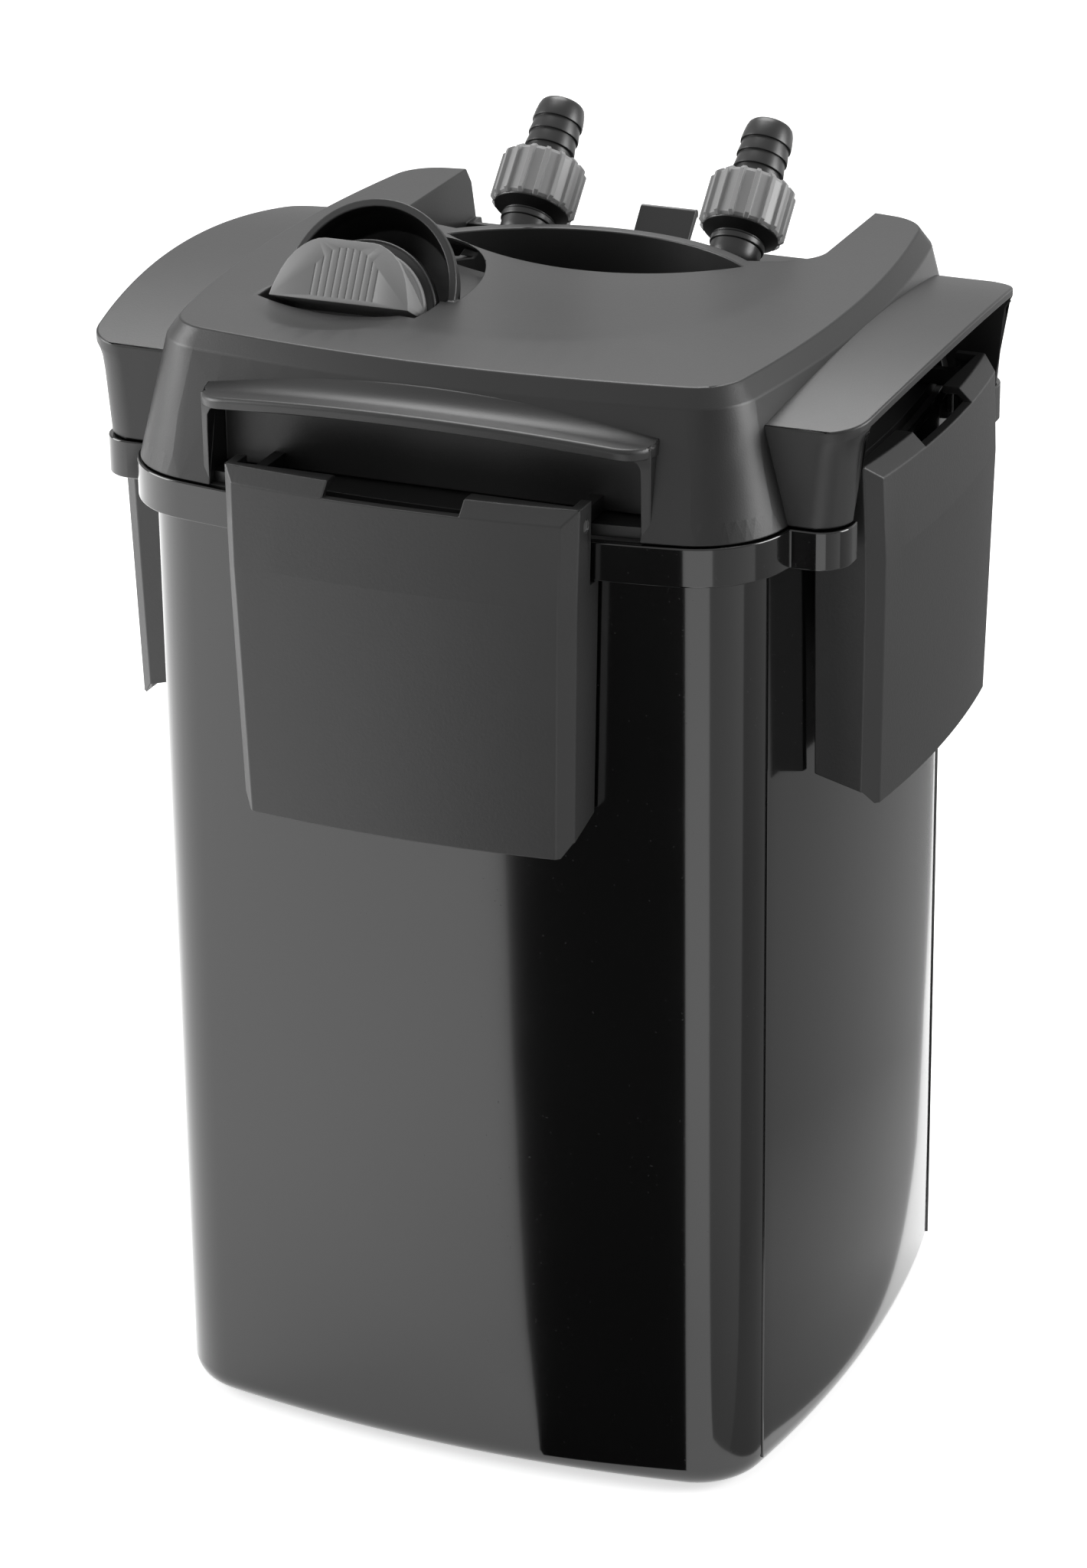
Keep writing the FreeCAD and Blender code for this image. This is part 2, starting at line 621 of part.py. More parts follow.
def side_plate(x_low, x_high, points):
    """A plate of constant width along X, from an outline of (y, z) pairs."""
    body = doc.addObject("PartDesign::Body", "Body")
    sketch = body_sketch(body, "YZ_Plane", Size.of(x_low))
    outline(sketch, points)
    pad(body, sketch, Size.of(x_high) - Size.of(x_low))
    return body


def front_plate(near, far, points):
    """A plate of constant depth, in front of the middle, from an outline of (x, z) pairs."""
    body = doc.addObject("PartDesign::Body", "Body")
    sketch = body_sketch(body, "XZ_Plane", Size.of(near))
    outline(sketch, points)
    pad(body, sketch, Size.of(far) - Size.of(near))
    return body


def screw(x, y, z, up=True):
    """A screw whose head's seat is at a height, with its shank above or below."""
    shank = rod(size.screw_radius, size.screw_length, x, y, z if up else z - size.screw_length)
    head = rod(size.screw_head, size.screw_head_height, x, y, z - size.screw_head_height if up else z)
    return join(shank, head)


def around(radius, count, x, y, start=0):
    """Places on a circle about (x, y)."""
    spots = []
    for number in range(count):
        angle = math.radians(start + 360 * number / count)
        spots.append((x + radius * math.cos(angle), y + radius * math.sin(angle)))
    return spots


def ring_seal(radius, section, x=0, y=0, z=0, axis=None, angle=0):
    """A round seal about an axis."""
    item = doc.addObject("Part::Torus", "Torus")
    for prop, span in (("Radius1", radius), ("Radius2", section)):
        setattr(item, prop, span.value)
        bind(item, prop, span)
    return place(item, x, y, z, axis, angle)


X_AXIS, Y_AXIS, Z_AXIS = Vector(1, 0, 0), Vector(0, 1, 0), Vector(0, 0, 1)
floor_top = size.canister_base + size.canister_floor


# Canister: bulged box with a thicker collar, four pads on the collar and a seal groove

def pad_block(low, high):
    """The four pads that carry the legs of the side hoods, before the collar joins them."""
    blocks = []
    for side in (-1, 1):
        for end in (-1, 1):
            x = sorted((side * size.canister_half, side * size.pad_reach), key=lambda s: s.value)
            y = sorted((end * size.pad_near, end * size.pad_far), key=lambda s: s.value)
            block = box(x, y, (low, high))
            outer = size.pad_reach.value * side

            def corner(edge, outer=outer, end=end):
                spot = edge.CenterOfMass
                return upright(edge) and abs(spot.x - outer) < 0.1 and abs(spot.y) > size.pad_near.value + 1

            blocks.append(trimmed("Fillet", block, size.pad_round, corner))
    return blocks


def make_canister():
    wall = square_prism(size.canister_base, size.collar_top)
    lowest = size.canister_base.value

    def lower_edge(edge):
        return all(abs(vertex.Z - lowest) < 1e-6 for vertex in edge.Vertexes)

    shell = trimmed("Fillet", wall, size.base_round, lower_edge)
    collar = square_prism(size.collar_bottom, size.collar_top, half=size.collar_half)
    inside = square_prism(floor_top, size.collar_top + 1, size.canister_wall)
    groove_floor = size.collar_top - size.seal_height + size.seam
    groove = cut(square_prism(groove_floor, size.collar_top + 1, half=size.seal_half + size.slack / 2),
                 square_prism(groove_floor - 1, size.collar_top + 2,
                              half=size.seal_half - size.seal_width - size.slack / 2))
    sockets = [rod(size.foot_radius + size.slack / 2, size.foot_height - size.canister_base,
                   x * size.foot_place, y * size.foot_place, size.canister_base)
               for x in (-1, 1) for y in (-1, 1)]
    rests = [rod(size.rest_radius, size.basket_first - size.slack - floor_top + 1,
                 x * size.rest_place, y * size.rest_place, floor_top - 1)
             for x in (-1, 1) for y in (-1, 1)]
    outer = join(shell, collar, *pad_block(size.collar_bottom, size.collar_top))
    keep("canister", join(cut(outer, inside, groove, *sockets), *rests))


def make_feet():
    feet = [rod(size.foot_radius, size.foot_height, x * size.foot_place, y * size.foot_place)
            for x in (-1, 1) for y in (-1, 1)]
    keep("rubber_feet", group(*feet))


def make_seal():
    low = size.collar_top - size.seal_height + size.seam
    outer = square_prism(low, head_bottom, half=size.seal_half)
    inner = square_prism(low - 1, head_bottom + 1, half=size.seal_half - size.seal_width)
    keep("canister_seal", cut(outer, inner))


# Baskets, their lid and their filling, and the pipe that brings water to the floor

def basket_outline(sketch, inset=0):
    bulge = size.side_bulge - size.canister_half + size.basket_half
    bulged_square(sketch, size.basket_half - inset, bulge - inset, size.basket_round - inset)


basket_step = size.basket_height + size.slack
sleeve_radius = size.pipe_radius + size.basket_wall + size.slack * 2


def make_basket(number):
    low = size.basket_first + number * basket_step
    body = doc.addObject("PartDesign::Body", "Body")
    sketch = body_sketch(body, height=low)
    basket_outline(sketch)
    pad(body, sketch, size.basket_height)
    hollow = body_sketch(body, height=low + size.basket_height)
    basket_outline(hollow, size.basket_wall)
    pad(body, hollow, size.basket_height - size.basket_floor, "PartDesign::Pocket")
    tube = body_sketch(body, height=low)
    circle(tube, -size.hose_place, size.hose_back, sleeve_radius)
    pad(body, tube, size.basket_height)
    bar = body_sketch(body, height=low + size.basket_height - size.bar_thickness)
    edge = size.basket_half - size.basket_wall / 2
    half = size.bar_width / 2
    outline(bar, [(-edge, -half), (edge, -half), (edge, half), (-edge, half)])
    pad(body, bar, size.bar_thickness)
    bore = body_sketch(body, height=low + size.basket_height)
    circle(bore, -size.hose_place, size.hose_back, sleeve_radius - size.basket_wall)
    pad(body, bore, size.basket_height, "PartDesign::Pocket")
    slot = body_sketch(body, height=low + size.basket_floor)
    left = size.slot_pitch * (-(SLOTS - 1) / 2) - size.slot_width / 2
    right = left + size.slot_width
    front, back = size.slot_middle - size.slot_half, size.slot_middle + size.slot_half
    outline(slot, [(left, front), (right, front), (right, back), (left, back)])
    opening = pad(body, slot, size.basket_floor, "PartDesign::Pocket")
    doc.recompute()
    pattern = body.newObject("PartDesign::LinearPattern", "LinearPattern")
    pattern.Originals = [opening]
    pattern.Direction = (slot, ["H_Axis"])
    pattern.Occurrences = SLOTS
    pattern.Length = (size.slot_pitch * (SLOTS - 1)).value
    bind(pattern, "Length", size.slot_pitch * (SLOTS - 1))
    body.Tip = pattern
    keep(f"basket_{number + 1}", body)


lid_low = size.basket_first + BASKETS * basket_step


def make_basket_lid():
    plate = prism(lid_low, lid_low + size.basket_floor, basket_outline)
    hole = rod(sleeve_radius - size.basket_wall, size.basket_floor * 3,
               -size.hose_place, size.hose_back, lid_low - size.basket_floor)
    slots = []
    for number in range(SLOTS):
        middle = size.slot_pitch * (number - (SLOTS - 1) / 2)
        slots.append(box((middle - size.slot_width / 2, middle + size.slot_width / 2),
                         (size.slot_middle - size.slot_half, size.slot_middle + size.slot_half),
                         (lid_low - 1, lid_low + size.basket_floor + 1)))
    keep("basket_lid", cut(plate, hole, *slots))


def filling(label, number, share):
    """A block of filter material that fills a share of a basket's height, round the pipe's sleeve."""
    low = size.basket_first + number * basket_step + size.basket_floor + size.slack
    room = size.basket_height - size.basket_floor - size.bar_thickness - size.slack * 2
    block = prism(low, low + room * share,
                  lambda sketch: basket_outline(sketch, size.basket_wall + size.slack))
    sleeve = rod(sleeve_radius + size.slack, size.basket_height,
                 -size.hose_place, size.hose_back, low - size.slack)
    keep(label, cut(block, sleeve))


def make_pipe():
    low = floor_top + size.slack
    wall = rod(size.pipe_radius, size.socket_bottom - size.slack - low,
               -size.hose_place, size.hose_back, low)
    bore = rod(size.pipe_bore, size.socket_bottom, -size.hose_place, size.hose_back, low - 1)
    mouths = box((-size.hose_place - size.pipe_radius * 2, -size.hose_place + size.pipe_radius * 2),
                 (size.hose_back - size.pipe_bore / 2, size.hose_back + size.pipe_bore / 2),
                 (low - 1, low + size.pipe_bore))
    keep("down_pipe", cut(wall, bore, mouths))


# Head: base plate with its spigot, pump chamber, duct, gate chamber and sockets

def knob_frame(item, up=0, out=0):
    """Stands an object on the knob's axis: `up` along its face, `out` along its axis."""
    lean = size.knob_lean
    y = size.knob_front + cosine(lean) * up - sine(lean) * out
    z = size.knob_height + sine(lean) * up + cosine(lean) * out
    return place(item, size.knob_across, y, z, X_AXIS, lean)


def above(item, height):
    """The share of an object that lies above a height."""
    wide = size.hood_reach + 10
    return overlap(item, box((-wide, wide), (-wide, wide), (height, size.deck_top * 2)))


plate_low = size.bay_floor + size.slack
plate_top = plate_low + size.block_height
slide_low = plate_low + 2
pump = (size.pump_across, size.pump_back)
cover_spots = around(size.ear_place, 3, *pump, start=size.cover_turn.value)
motor_spots = around((size.motor_radius + size.motor_flange) / 2, 4, *pump, start=size.motor_turn.value)
boss_spots = [(x * size.boss_place, y * size.boss_place) for x in (-1, 1) for y in (-1, 1)]
chamber_end = size.gate_place + size.slack
seat_radius = size.spindle_radius + size.seal_section * 2


def make_head_base():
    flange = square_prism(head_bottom, size.flange_top, half=size.flange_half)
    lip = size.canister_wall + size.slack * 2
    low = head_bottom - size.spigot_depth
    spigot = cut(square_prism(low, head_bottom, lip),
                 square_prism(low - 1, head_bottom + 1, lip + size.canister_wall))
    chamber = rod(size.pump_radius, head_bottom - size.pump_bottom, *pump, size.pump_bottom)
    ears = [rod(size.cover_ear, size.screw_length + 2, *spot, size.pump_bottom) for spot in cover_spots]
    bore = rod(size.pump_bore, size.pump_roof - size.pump_bottom + 1, *pump, size.pump_bottom - 1)
    neck = rod(size.motor_neck + size.slack, size.flange_top - size.pump_roof + 2, *pump,
               size.pump_roof - 1)
    socket_bore = size.spigot_radius + size.slack
    sockets, bores = [], []
    for side in (-1, 1):
        spot = (side * size.hose_place, size.hose_back)
        top = size.bay_floor - size.head_wall - size.slack
        sockets.append(rod(socket_bore + size.socket_wall, top - size.socket_bottom, *spot,
                           size.socket_bottom))
        bores.append(rod(socket_bore, top - size.spigot_end + 2, *spot, size.spigot_end - 1))
        closed = 0 if side < 0 else size.socket_wall + 1
        bores.append(rod(size.pipe_bore, top - size.socket_bottom, *spot,
                         size.socket_bottom - 1 + closed))
    run_x = size.hose_place - size.pump_across
    run_y = size.hose_back - size.pump_back
    along = Vector(-run_y.value, run_x.value, 0)
    start = (*pump, size.duct_height)
    duct = rod(size.duct_radius + size.canister_wall, root(run_x * run_x + run_y * run_y), *start, along, 90)
    duct_bore = rod(size.duct_radius, root(run_x * run_x + run_y * run_y), *start, along, 90)
    gate_room = size.gate_radius + size.slack
    housing = knob_frame(rod(gate_room + size.gate_wall, size.gate_radius * 2), 0, -chamber_end - size.gate_radius)
    nose_low = size.gate_place - size.gate_thickness - size.slack * 2
    roof = knob_frame(rod(gate_room + size.gate_wall, size.gate_wall), 0, -nose_low)
    guide = knob_frame(rod(seat_radius + size.gate_wall, size.seal_section * 4), 0, -nose_low)
    room = knob_frame(rod(gate_room, chamber_end - nose_low), 0, -chamber_end)
    shaft_hole = knob_frame(rod(size.spindle_radius + size.running, size.gate_place), 0, -nose_low - 1)
    seat = knob_frame(rod(seat_radius, size.seal_section * 3), 0,
                      -nose_low + size.gate_wall)
    port = knob_frame(rod(size.port_radius, size.gate_radius * 4), size.gate_radius / -2,
                      -chamber_end - size.gate_radius * 3)
    valve = above(join(housing, roof, guide), head_bottom)
    taps = [rod(size.screw_radius, size.screw_length + 1, *spot, size.pump_bottom - 1)
            for spot in cover_spots]
    taps += [rod(size.screw_radius, size.screw_length, *spot,
                 size.flange_top + size.slack + size.flange_thickness - size.screw_length)
             for spot in motor_spots]
    holes = [rod(size.screw_radius + size.slack, size.screw_length, *spot, head_bottom - 1)
             for spot in boss_spots]
    solid = join(flange, spigot, chamber, duct, valve, *sockets, *ears)
    keep("head_base", cut(solid, bore, neck, duct_bore, room, shaft_hole, seat, port,
                          *bores, *taps, *holes))


# Head cover: sloping walls, bevelled and dished deck, side hoods, front visor, hose bay,
# finger recess and the bowl of the knob

side_recess = size.deck_half - size.head_wall * 2


def hood():
    """The left side hood, and the space under it: a crowned roof on two legs, bowed outwards."""
    crown = arc_radius(size.hood_half, size.hood_rise)
    bow = arc_radius(size.hood_half, size.hood_bow)
    x = (-size.hood_reach - 1, -side_recess)
    block = box(x, (-size.hood_half, size.hood_half), (head_bottom, size.deck_top))
    roof = rod(crown, size.hood_reach * 3, -size.hood_reach * 1.5, 0, size.hood_crown - crown, Y_AXIS, 90)
    plan = rod(bow, size.deck_top, bow - size.hood_reach, 0, 1)
    outside = overlap(block, roof, plan)
    edge = size.hood_bow.value - size.hood_reach.value

    def corner(item):
        return upright(item) and abs(item.CenterOfMass.x - edge) < 2.5

    outside = trimmed("Fillet", outside, size.hood_round, corner)
    gap = box(x, (-size.hood_gap_half, size.hood_gap_half), (head_bottom - 1, size.deck_top))
    inside = rod(crown - size.hood_thickness, size.hood_reach * 3, -size.hood_reach * 1.5, 0,
                 size.hood_crown - crown, Y_AXIS, 90)
    return outside, overlap(gap, inside)


def visor():
    """The front visor, and the space under it: a thin crowned roof on two thin legs."""
    crown = arc_radius(size.visor_half, size.visor_rise)
    bow = arc_radius(size.visor_half, size.visor_bow)
    y = (-size.visor_reach - 1, -size.recess_wall)
    block = box((-size.visor_half, size.visor_half), y, (head_bottom, size.deck_top))
    length = size.visor_reach * 3
    roof = rod(crown, length, 0, length / 2, size.visor_crown - crown, X_AXIS, 90)
    plan = rod(bow, size.deck_top, 0, bow - size.visor_reach, 1)
    half = size.visor_half - size.visor_leg
    gap = box((-half, half), y, (head_bottom - 1, size.deck_top))
    inside = rod(crown - size.visor_thickness, length, 0, length / 2, size.visor_crown - crown, X_AXIS, 90)
    return overlap(block, roof, plan), overlap(gap, inside)


bowl_inner = size.bowl_radius - size.bowl_wall
bar_radius = arc_radius(size.grip_end, size.grip_back - size.grip_end_back)


def bowl(grow=0):
    """The round of the bowl behind the knob: a rim, and a cup that narrows behind it."""
    deep = size.bowl_depth + size.bowl_wall + grow
    outer = size.bowl_radius - size.bowl_lip / 2 + grow
    rim = size.bowl_radius + grow
    shape = turned([(0, -deep), (outer * 0.55, -deep), (outer * 0.86, deep * -0.76), (outer, deep * -0.34),
                    (outer, -size.bowl_lip), (rim, -size.bowl_lip), (rim, grow), (0, grow)])
    return knob_frame(shape, size.bowl_rise, -size.bowl_back)


def bowl_hollow():
    deep = size.bowl_depth
    shape = turned([(0, -deep), (bowl_inner * 0.55, -deep), (bowl_inner * 0.86, deep * -0.76),
                    (bowl_inner, deep * -0.34), (bowl_inner, 1), (0, 1)])
    return knob_frame(shape, size.bowl_rise, -size.bowl_back)


def knob_well(grow=0):
    """The round hole that the knob turns in."""
    deep = size.bowl_back + size.knob_play + grow
    return knob_frame(rod(size.knob_radius + size.knob_play + grow, deep + size.knob_play), 0, -deep)


def moat(grow=0):
    """The sunken ring round the bowl: a slanting round cut into the deck, down to a floor."""
    length = size.bowl_back * 3
    slant = knob_frame(rod(size.bowl_radius + grow, length), size.bowl_rise, -size.bowl_back - length)
    return above(slant, size.moat_floor - grow)


def crescent(grow=0):
    """The finger recess, between two arcs seen from above."""
    front = arc_radius(size.grip_end, size.recess_front_end - size.recess_front)
    low = size.recess_floor - grow
    rear = rod(bar_radius + grow - size.grip_bar, size.deck_top, 0, size.grip_back - bar_radius, low)
    fore = rod(front + grow, size.deck_top, 0, size.recess_front + front, low)
    return overlap(rear, fore)


def bay(grow=0):
    """The space for the hoses: a pocket, and above its rear sill a way out to the rear."""
    half = size.bay_half + grow
    front = size.bay_front - grow
    pocket = box((-half, half), (front, size.recess_wall - size.head_wall + grow),
                 (size.bay_floor - grow, size.deck_top + 1))
    way = box((-half, half), (front, size.hood_reach), (size.bay_sill - grow, size.deck_top + 1))

    def corner(edge):
        return upright(edge) and abs(edge.CenterOfMass.y - front.value) < 1

    pieces = [trimmed("Fillet", item, size.bay_round + grow, corner) for item in (pocket, way)]
    keeper = rod(bar_radius - grow, size.deck_top * 2, 0, size.grip_back - bar_radius, 0)
    return cut(join(*pieces), keeper)


def latch_ears(turn, wall):
    """Two ears on the wall behind one latch that hold its pins, turned to its side."""
    outer = size.latch_low_half - size.slack * 2
    ears = []
    for side in (-1, 1):
        x = sorted((side * (outer - size.ear_width), side * outer), key=lambda s: s.value)
        arm = box(x, (-size.pivot_place, -wall),
                  (size.flange_top + size.slack, size.pivot_height + size.ear_radius / 2))
        start = (-size.pivot_place, size.pivot_height)
        eye = rod(size.ear_radius, size.ear_width, x[0], *start, Y_AXIS, 90)
        hole = rod(size.pin_radius + size.running, size.ear_width * 3, x[0] - size.ear_width, *start,
                   Y_AXIS, 90)
        ears.append(cut(join(arm, eye), hole))
    return place(group(*ears), axis=Z_AXIS, angle=turn)


def make_head_cover():
    walls = square_loft(head_bottom, size.head_half, size.deck_low, size.deck_half)
    bevel = square_loft(size.deck_low, size.deck_half, size.deck_top, size.deck_edge_half)
    left, left_gap = hood()
    front, front_gap = visor()
    sphere = doc.addObject("Part::Sphere", "Sphere")
    dish = arc_radius(size.dish_radius, size.dish_depth)
    sphere.Radius = dish.value
    bind(sphere, "Radius", dish)
    place(sphere, 0, 0, size.deck_top - size.dish_depth + dish)
    scoop = doc.addObject("Part::Sphere", "Sphere")
    round_scoop = arc_radius(size.scoop_radius, size.scoop_depth)
    scoop.Radius = round_scoop.value
    bind(scoop, "Radius", round_scoop)
    place(scoop, size.knob_across, size.knob_front, size.knob_height - size.scoop_depth + round_scoop)
    plain = cut(join(walls, bevel), sphere, scoop, moat())
    inset = size.head_wall
    rear = size.visor_half - size.visor_leg
    rear_gap = box((-rear, rear), (size.recess_wall, size.hood_reach), (head_bottom - 1, size.deck_top + 1))
    seat = square_prism(head_bottom - 1, size.flange_top + size.slack, half=size.flange_half + size.slack)
    cavity = square_loft(head_bottom, size.head_half - inset, size.deck_low - inset, size.deck_half - inset)
    edge = size.recess_wall - inset
    room = box((-edge, edge), (-edge, edge), (head_bottom - 2, size.deck_top))
    bosses = [rod(size.boss_radius, size.deck_top, *spot, 0) for spot in boss_spots]
    kept = [bay(inset), crescent(inset), moat(inset), bowl(inset), knob_well(inset)]
    cavity = cut(overlap(cavity, room), *kept, *bosses)
    taps = [rod(size.screw_radius, size.screw_length + 1, *spot, head_bottom) for spot in boss_spots]
    shaft_hole = knob_frame(rod(size.spindle_radius + size.running, size.gate_place), 0, -size.gate_place)
    holes = [rod(size.spigot_radius + size.slack, size.deck_top - head_bottom, side * size.hose_place,
                 size.hose_back, head_bottom) for side in (-1, 1)]
    window_half = size.slide_half + size.slack
    window = box((-window_half, window_half), (edge - 1, size.recess_wall + 1),
                 (slide_low - size.slack, slide_low + size.slide_thickness + size.slack))
    gland_hole = rod(size.gland_radius + size.running, size.gland_end * 2 - edge, size.gland_across,
                     size.gland_end * 2, size.gland_height, X_AXIS, 90)
    shell = cut(join(plain, bowl()), bowl_hollow(), knob_well(), crescent(), bay(), left_gap,
                mirror(left_gap, X_AXIS), front_gap, rear_gap, seat, cavity, shaft_hole, window,
                gland_hole, *holes, *taps)
    keep("head_cover", shell)
    hood_left = cut(left, left_gap, walls)
    keep("side_hood_left", hood_left)
    keep("side_hood_right", mirror(hood_left, X_AXIS))
    keep("front_visor", cut(front, front_gap, walls))
    ears = [latch_ears(turn, wall) for turn, wall in (
        (0, size.recess_wall), (90, side_recess), (180, size.recess_wall), (270, side_recess))]
    keep("latch_brackets", group(*ears))


# Latches with their pins

def latch_block(inset, foot):
    """A latch's outline, drawn in by `inset`, with its bowed and slightly bent face and its bevel."""
    half, low_half = size.latch_half - inset, size.latch_low_half - inset
    top = size.latch_top - inset
    plate = front_plate(size.latch_waist - 10, size.latch_face + 1,
                        [(-low_half, foot), (low_half, foot), (half, top), (-half, top)])
    bows = []
    for lean in (size.latch_low_lean, -size.latch_high_lean):
        below = size.latch_top / 2
        bows.append(rod(size.latch_bow - inset, size.latch_top, 0,
                        size.latch_bow - size.latch_face + sine(lean) * below,
                        size.latch_bend - cosine(lean) * below, X_AXIS, lean))
    face, lowest, bend = -size.latch_face.value + 8, foot.value + 4, size.latch_bend.value

    def rim(edge):
        spot = edge.CenterOfMass
        return spot.y < face and spot.z > lowest and abs(spot.z - bend) > 1

    return trimmed("Chamfer", overlap(plate, *bows), size.latch_bevel - inset * 0.6, rim)


def make_latches():
    far, high = -size.latch_face - 1, size.latch_top + 1
    hook = size.collar_bottom - size.slack
    profile = side_plate(-size.latch_half - 1, size.latch_half + 1, [
        (far, size.latch_foot), (-size.latch_tip, size.latch_foot),
        (-size.latch_tip + size.latch_step_in, size.latch_foot + size.latch_step),
        (-size.latch_inner, size.latch_sill), (-size.latch_inner, hook), (-size.latch_waist, hook),
        (-size.latch_waist, high), (far, high)])
    outer = overlap(latch_block(0, size.latch_foot), profile)
    inner = latch_block(size.latch_wall, size.latch_foot - 10)
    notch = box((-size.latch_notch, size.latch_notch), (far, -size.latch_waist + 5),
                (size.latch_top - size.latch_bevel, high))
    lip = size.latch_low_half - size.slack
    relief = box((-lip, lip), (-size.latch_lip, -size.latch_waist + 5),
                 (size.pivot_height + size.ear_radius, high))
    bore = rod(size.pin_radius + size.running, size.latch_half * 2 + 2, -size.latch_half - 1,
               -size.pivot_place, size.pivot_height, Y_AXIS, 90)
    latch = cut(outer, inner, notch, relief, bore)
    start = size.latch_low_half - size.slack * 2 - size.ear_width
    pins = group(*[rod(size.pin_radius, size.latch_half - start - size.slack * 2, x, -size.pivot_place,
                       size.pivot_height, Y_AXIS, 90)
                   for x in (start, -size.latch_half + size.slack * 2)])
    sides = []
    for turn, name in ((0, "front"), (90, "right"), (180, "rear"), (270, "left")):
        keep(f"latch_{name}", place(group(latch), axis=Z_AXIS, angle=turn))
        sides.append(place(group(pins), axis=Z_AXIS, angle=turn))
    keep("latch_pins", group(*sides))


# Knob, its spindle with the flow gate, and its seal

def make_knob():
    drum = rod(size.knob_radius, size.knob_drum, 0, 0, -size.grip_depth - size.knob_drum)
    disc = rod(size.grip_radius, size.grip_depth, 0, 0, -size.grip_depth)
    wedge = side_plate(-size.grip_radius, size.grip_radius, [
        (-size.grip_root, -size.grip_depth), (2, -size.grip_depth), (size.grip_slope, -size.grip_thickness),
        (size.grip_top, -size.grip_thickness), (size.grip_top, 0), (0, 0), (-size.grip_root, -1)])
    top = size.grip_top.value

    def shoulder(edge):
        return upright(edge) and edge.CenterOfMass.y > top - 0.1

    grip = trimmed("Fillet", overlap(disc, wedge), size.grip_round, shoulder)
    keep("control_knob", knob_frame(group(join(drum, grip))))
    behind = size.grip_depth + size.knob_drum
    length = size.gate_place - behind
    spindle = rod(size.spindle_radius, length, 0, 0, -size.gate_place)
    disc = rod(size.gate_radius, size.gate_thickness, 0, 0, -size.gate_place)
    half = box((-size.gate_radius, size.gate_radius), (size.spindle_radius, size.gate_radius + 1),
               (-size.gate_place - 1, -behind))
    keep("knob_spindle", knob_frame(group(join(spindle, cut(disc, half)))))
    nose_low = size.gate_place - size.gate_thickness - size.slack * 2
    middle = size.spindle_radius + size.running + size.seal_section
    place_out = -nose_low + size.gate_wall + size.seal_section
    keep("knob_seal", knob_frame(ring_seal(middle, size.seal_section - size.running), 0, place_out))


# Hose block with its stubs, seals, tails, washers and union nuts, and its release slide

def connector_frame(item, side, along=0):
    """Stands an object on the leaning axis of a hose connector."""
    reach = Size.of(along)
    y = size.hose_back + sine(size.hose_lean) * reach
    z = size.elbow_height + cosine(size.hose_lean) * reach
    return place(item, side * size.hose_place, y, z, Vector(-1, 0, 0), size.hose_lean)


thread_start = size.nut_start + 1
thread_end = thread_start + size.thread_length
tail_start = thread_end + size.washer + size.slack
lip_start = size.nut_start + size.nut_length - size.nut_lip
tail_end = size.nut_start + size.nut_length + size.tail_length


def make_hose_block():
    back = size.recess_wall - size.head_wall - size.slack * 2
    plate = box((-size.block_half, size.block_half), (size.bay_front + size.slack, back),
                (plate_low, plate_top))
    keeper = rod(bar_radius + size.slack, size.deck_top, 0, size.grip_back - bar_radius, 0)
    room = size.slide_front - size.slide_travel - size.slack
    track = box((-size.slide_half - size.slack, size.slide_half + size.slack), (room, back + 1),
                (slide_low - size.slack, slide_low + size.slide_thickness + size.slack))
    mouth = box((-size.tab_half - size.slack, size.tab_half + size.slack), (room, back + 1),
                (slide_low, plate_top + 1))
    solids, bores = [cut(plate, keeper)], [track, mouth]
    groove = size.seal_section * 2
    neck = size.spigot_radius - groove + size.slack
    for side in (-1, 1):
        spot = (side * size.hose_place, size.hose_back)
        seat = size.spigot_end + 4
        spigot = turned([(size.stub_bore, size.spigot_end), (size.spigot_radius, size.spigot_end),
                         (size.spigot_radius, seat), (neck, seat), (neck, seat + groove),
                         (size.spigot_radius, seat + groove), (size.spigot_radius, plate_low + 1),
                         (size.stub_bore, plate_low + 1)])
        solids.append(place(spigot, *spot, 0))
        solids.append(rod(size.stub_radius, size.elbow_height - plate_low, *spot, plate_low))
        elbow = doc.addObject("Part::Sphere", "Sphere")
        elbow.Radius = size.stub_radius.value
        bind(elbow, "Radius", size.stub_radius)
        solids.append(place(elbow, *spot, size.elbow_height))
        solids.append(connector_frame(rod(size.stub_radius, thread_end), side))
        solids.append(connector_frame(rod(size.thread_radius, size.thread_length), side, thread_start))
        bores.append(rod(size.stub_bore, size.elbow_height - size.spigot_end + 1, *spot,
                         size.spigot_end - 1))
        bend = doc.addObject("Part::Sphere", "Sphere")
        bend.Radius = size.stub_bore.value
        bind(bend, "Radius", size.stub_bore)
        bores.append(place(bend, *spot, size.elbow_height))
        bores.append(connector_frame(rod(size.stub_bore, thread_end + 1), side))
    keep("hose_block", cut(join(*solids), *bores))
    middle = size.spigot_radius + size.slack - size.seal_section
    height = size.spigot_end + 4 + size.seal_section
    keep("hose_block_seals", group(*[ring_seal(middle, size.seal_section - size.running,
                                               side * size.hose_place, size.hose_back, height)
                                     for side in (-1, 1)]))


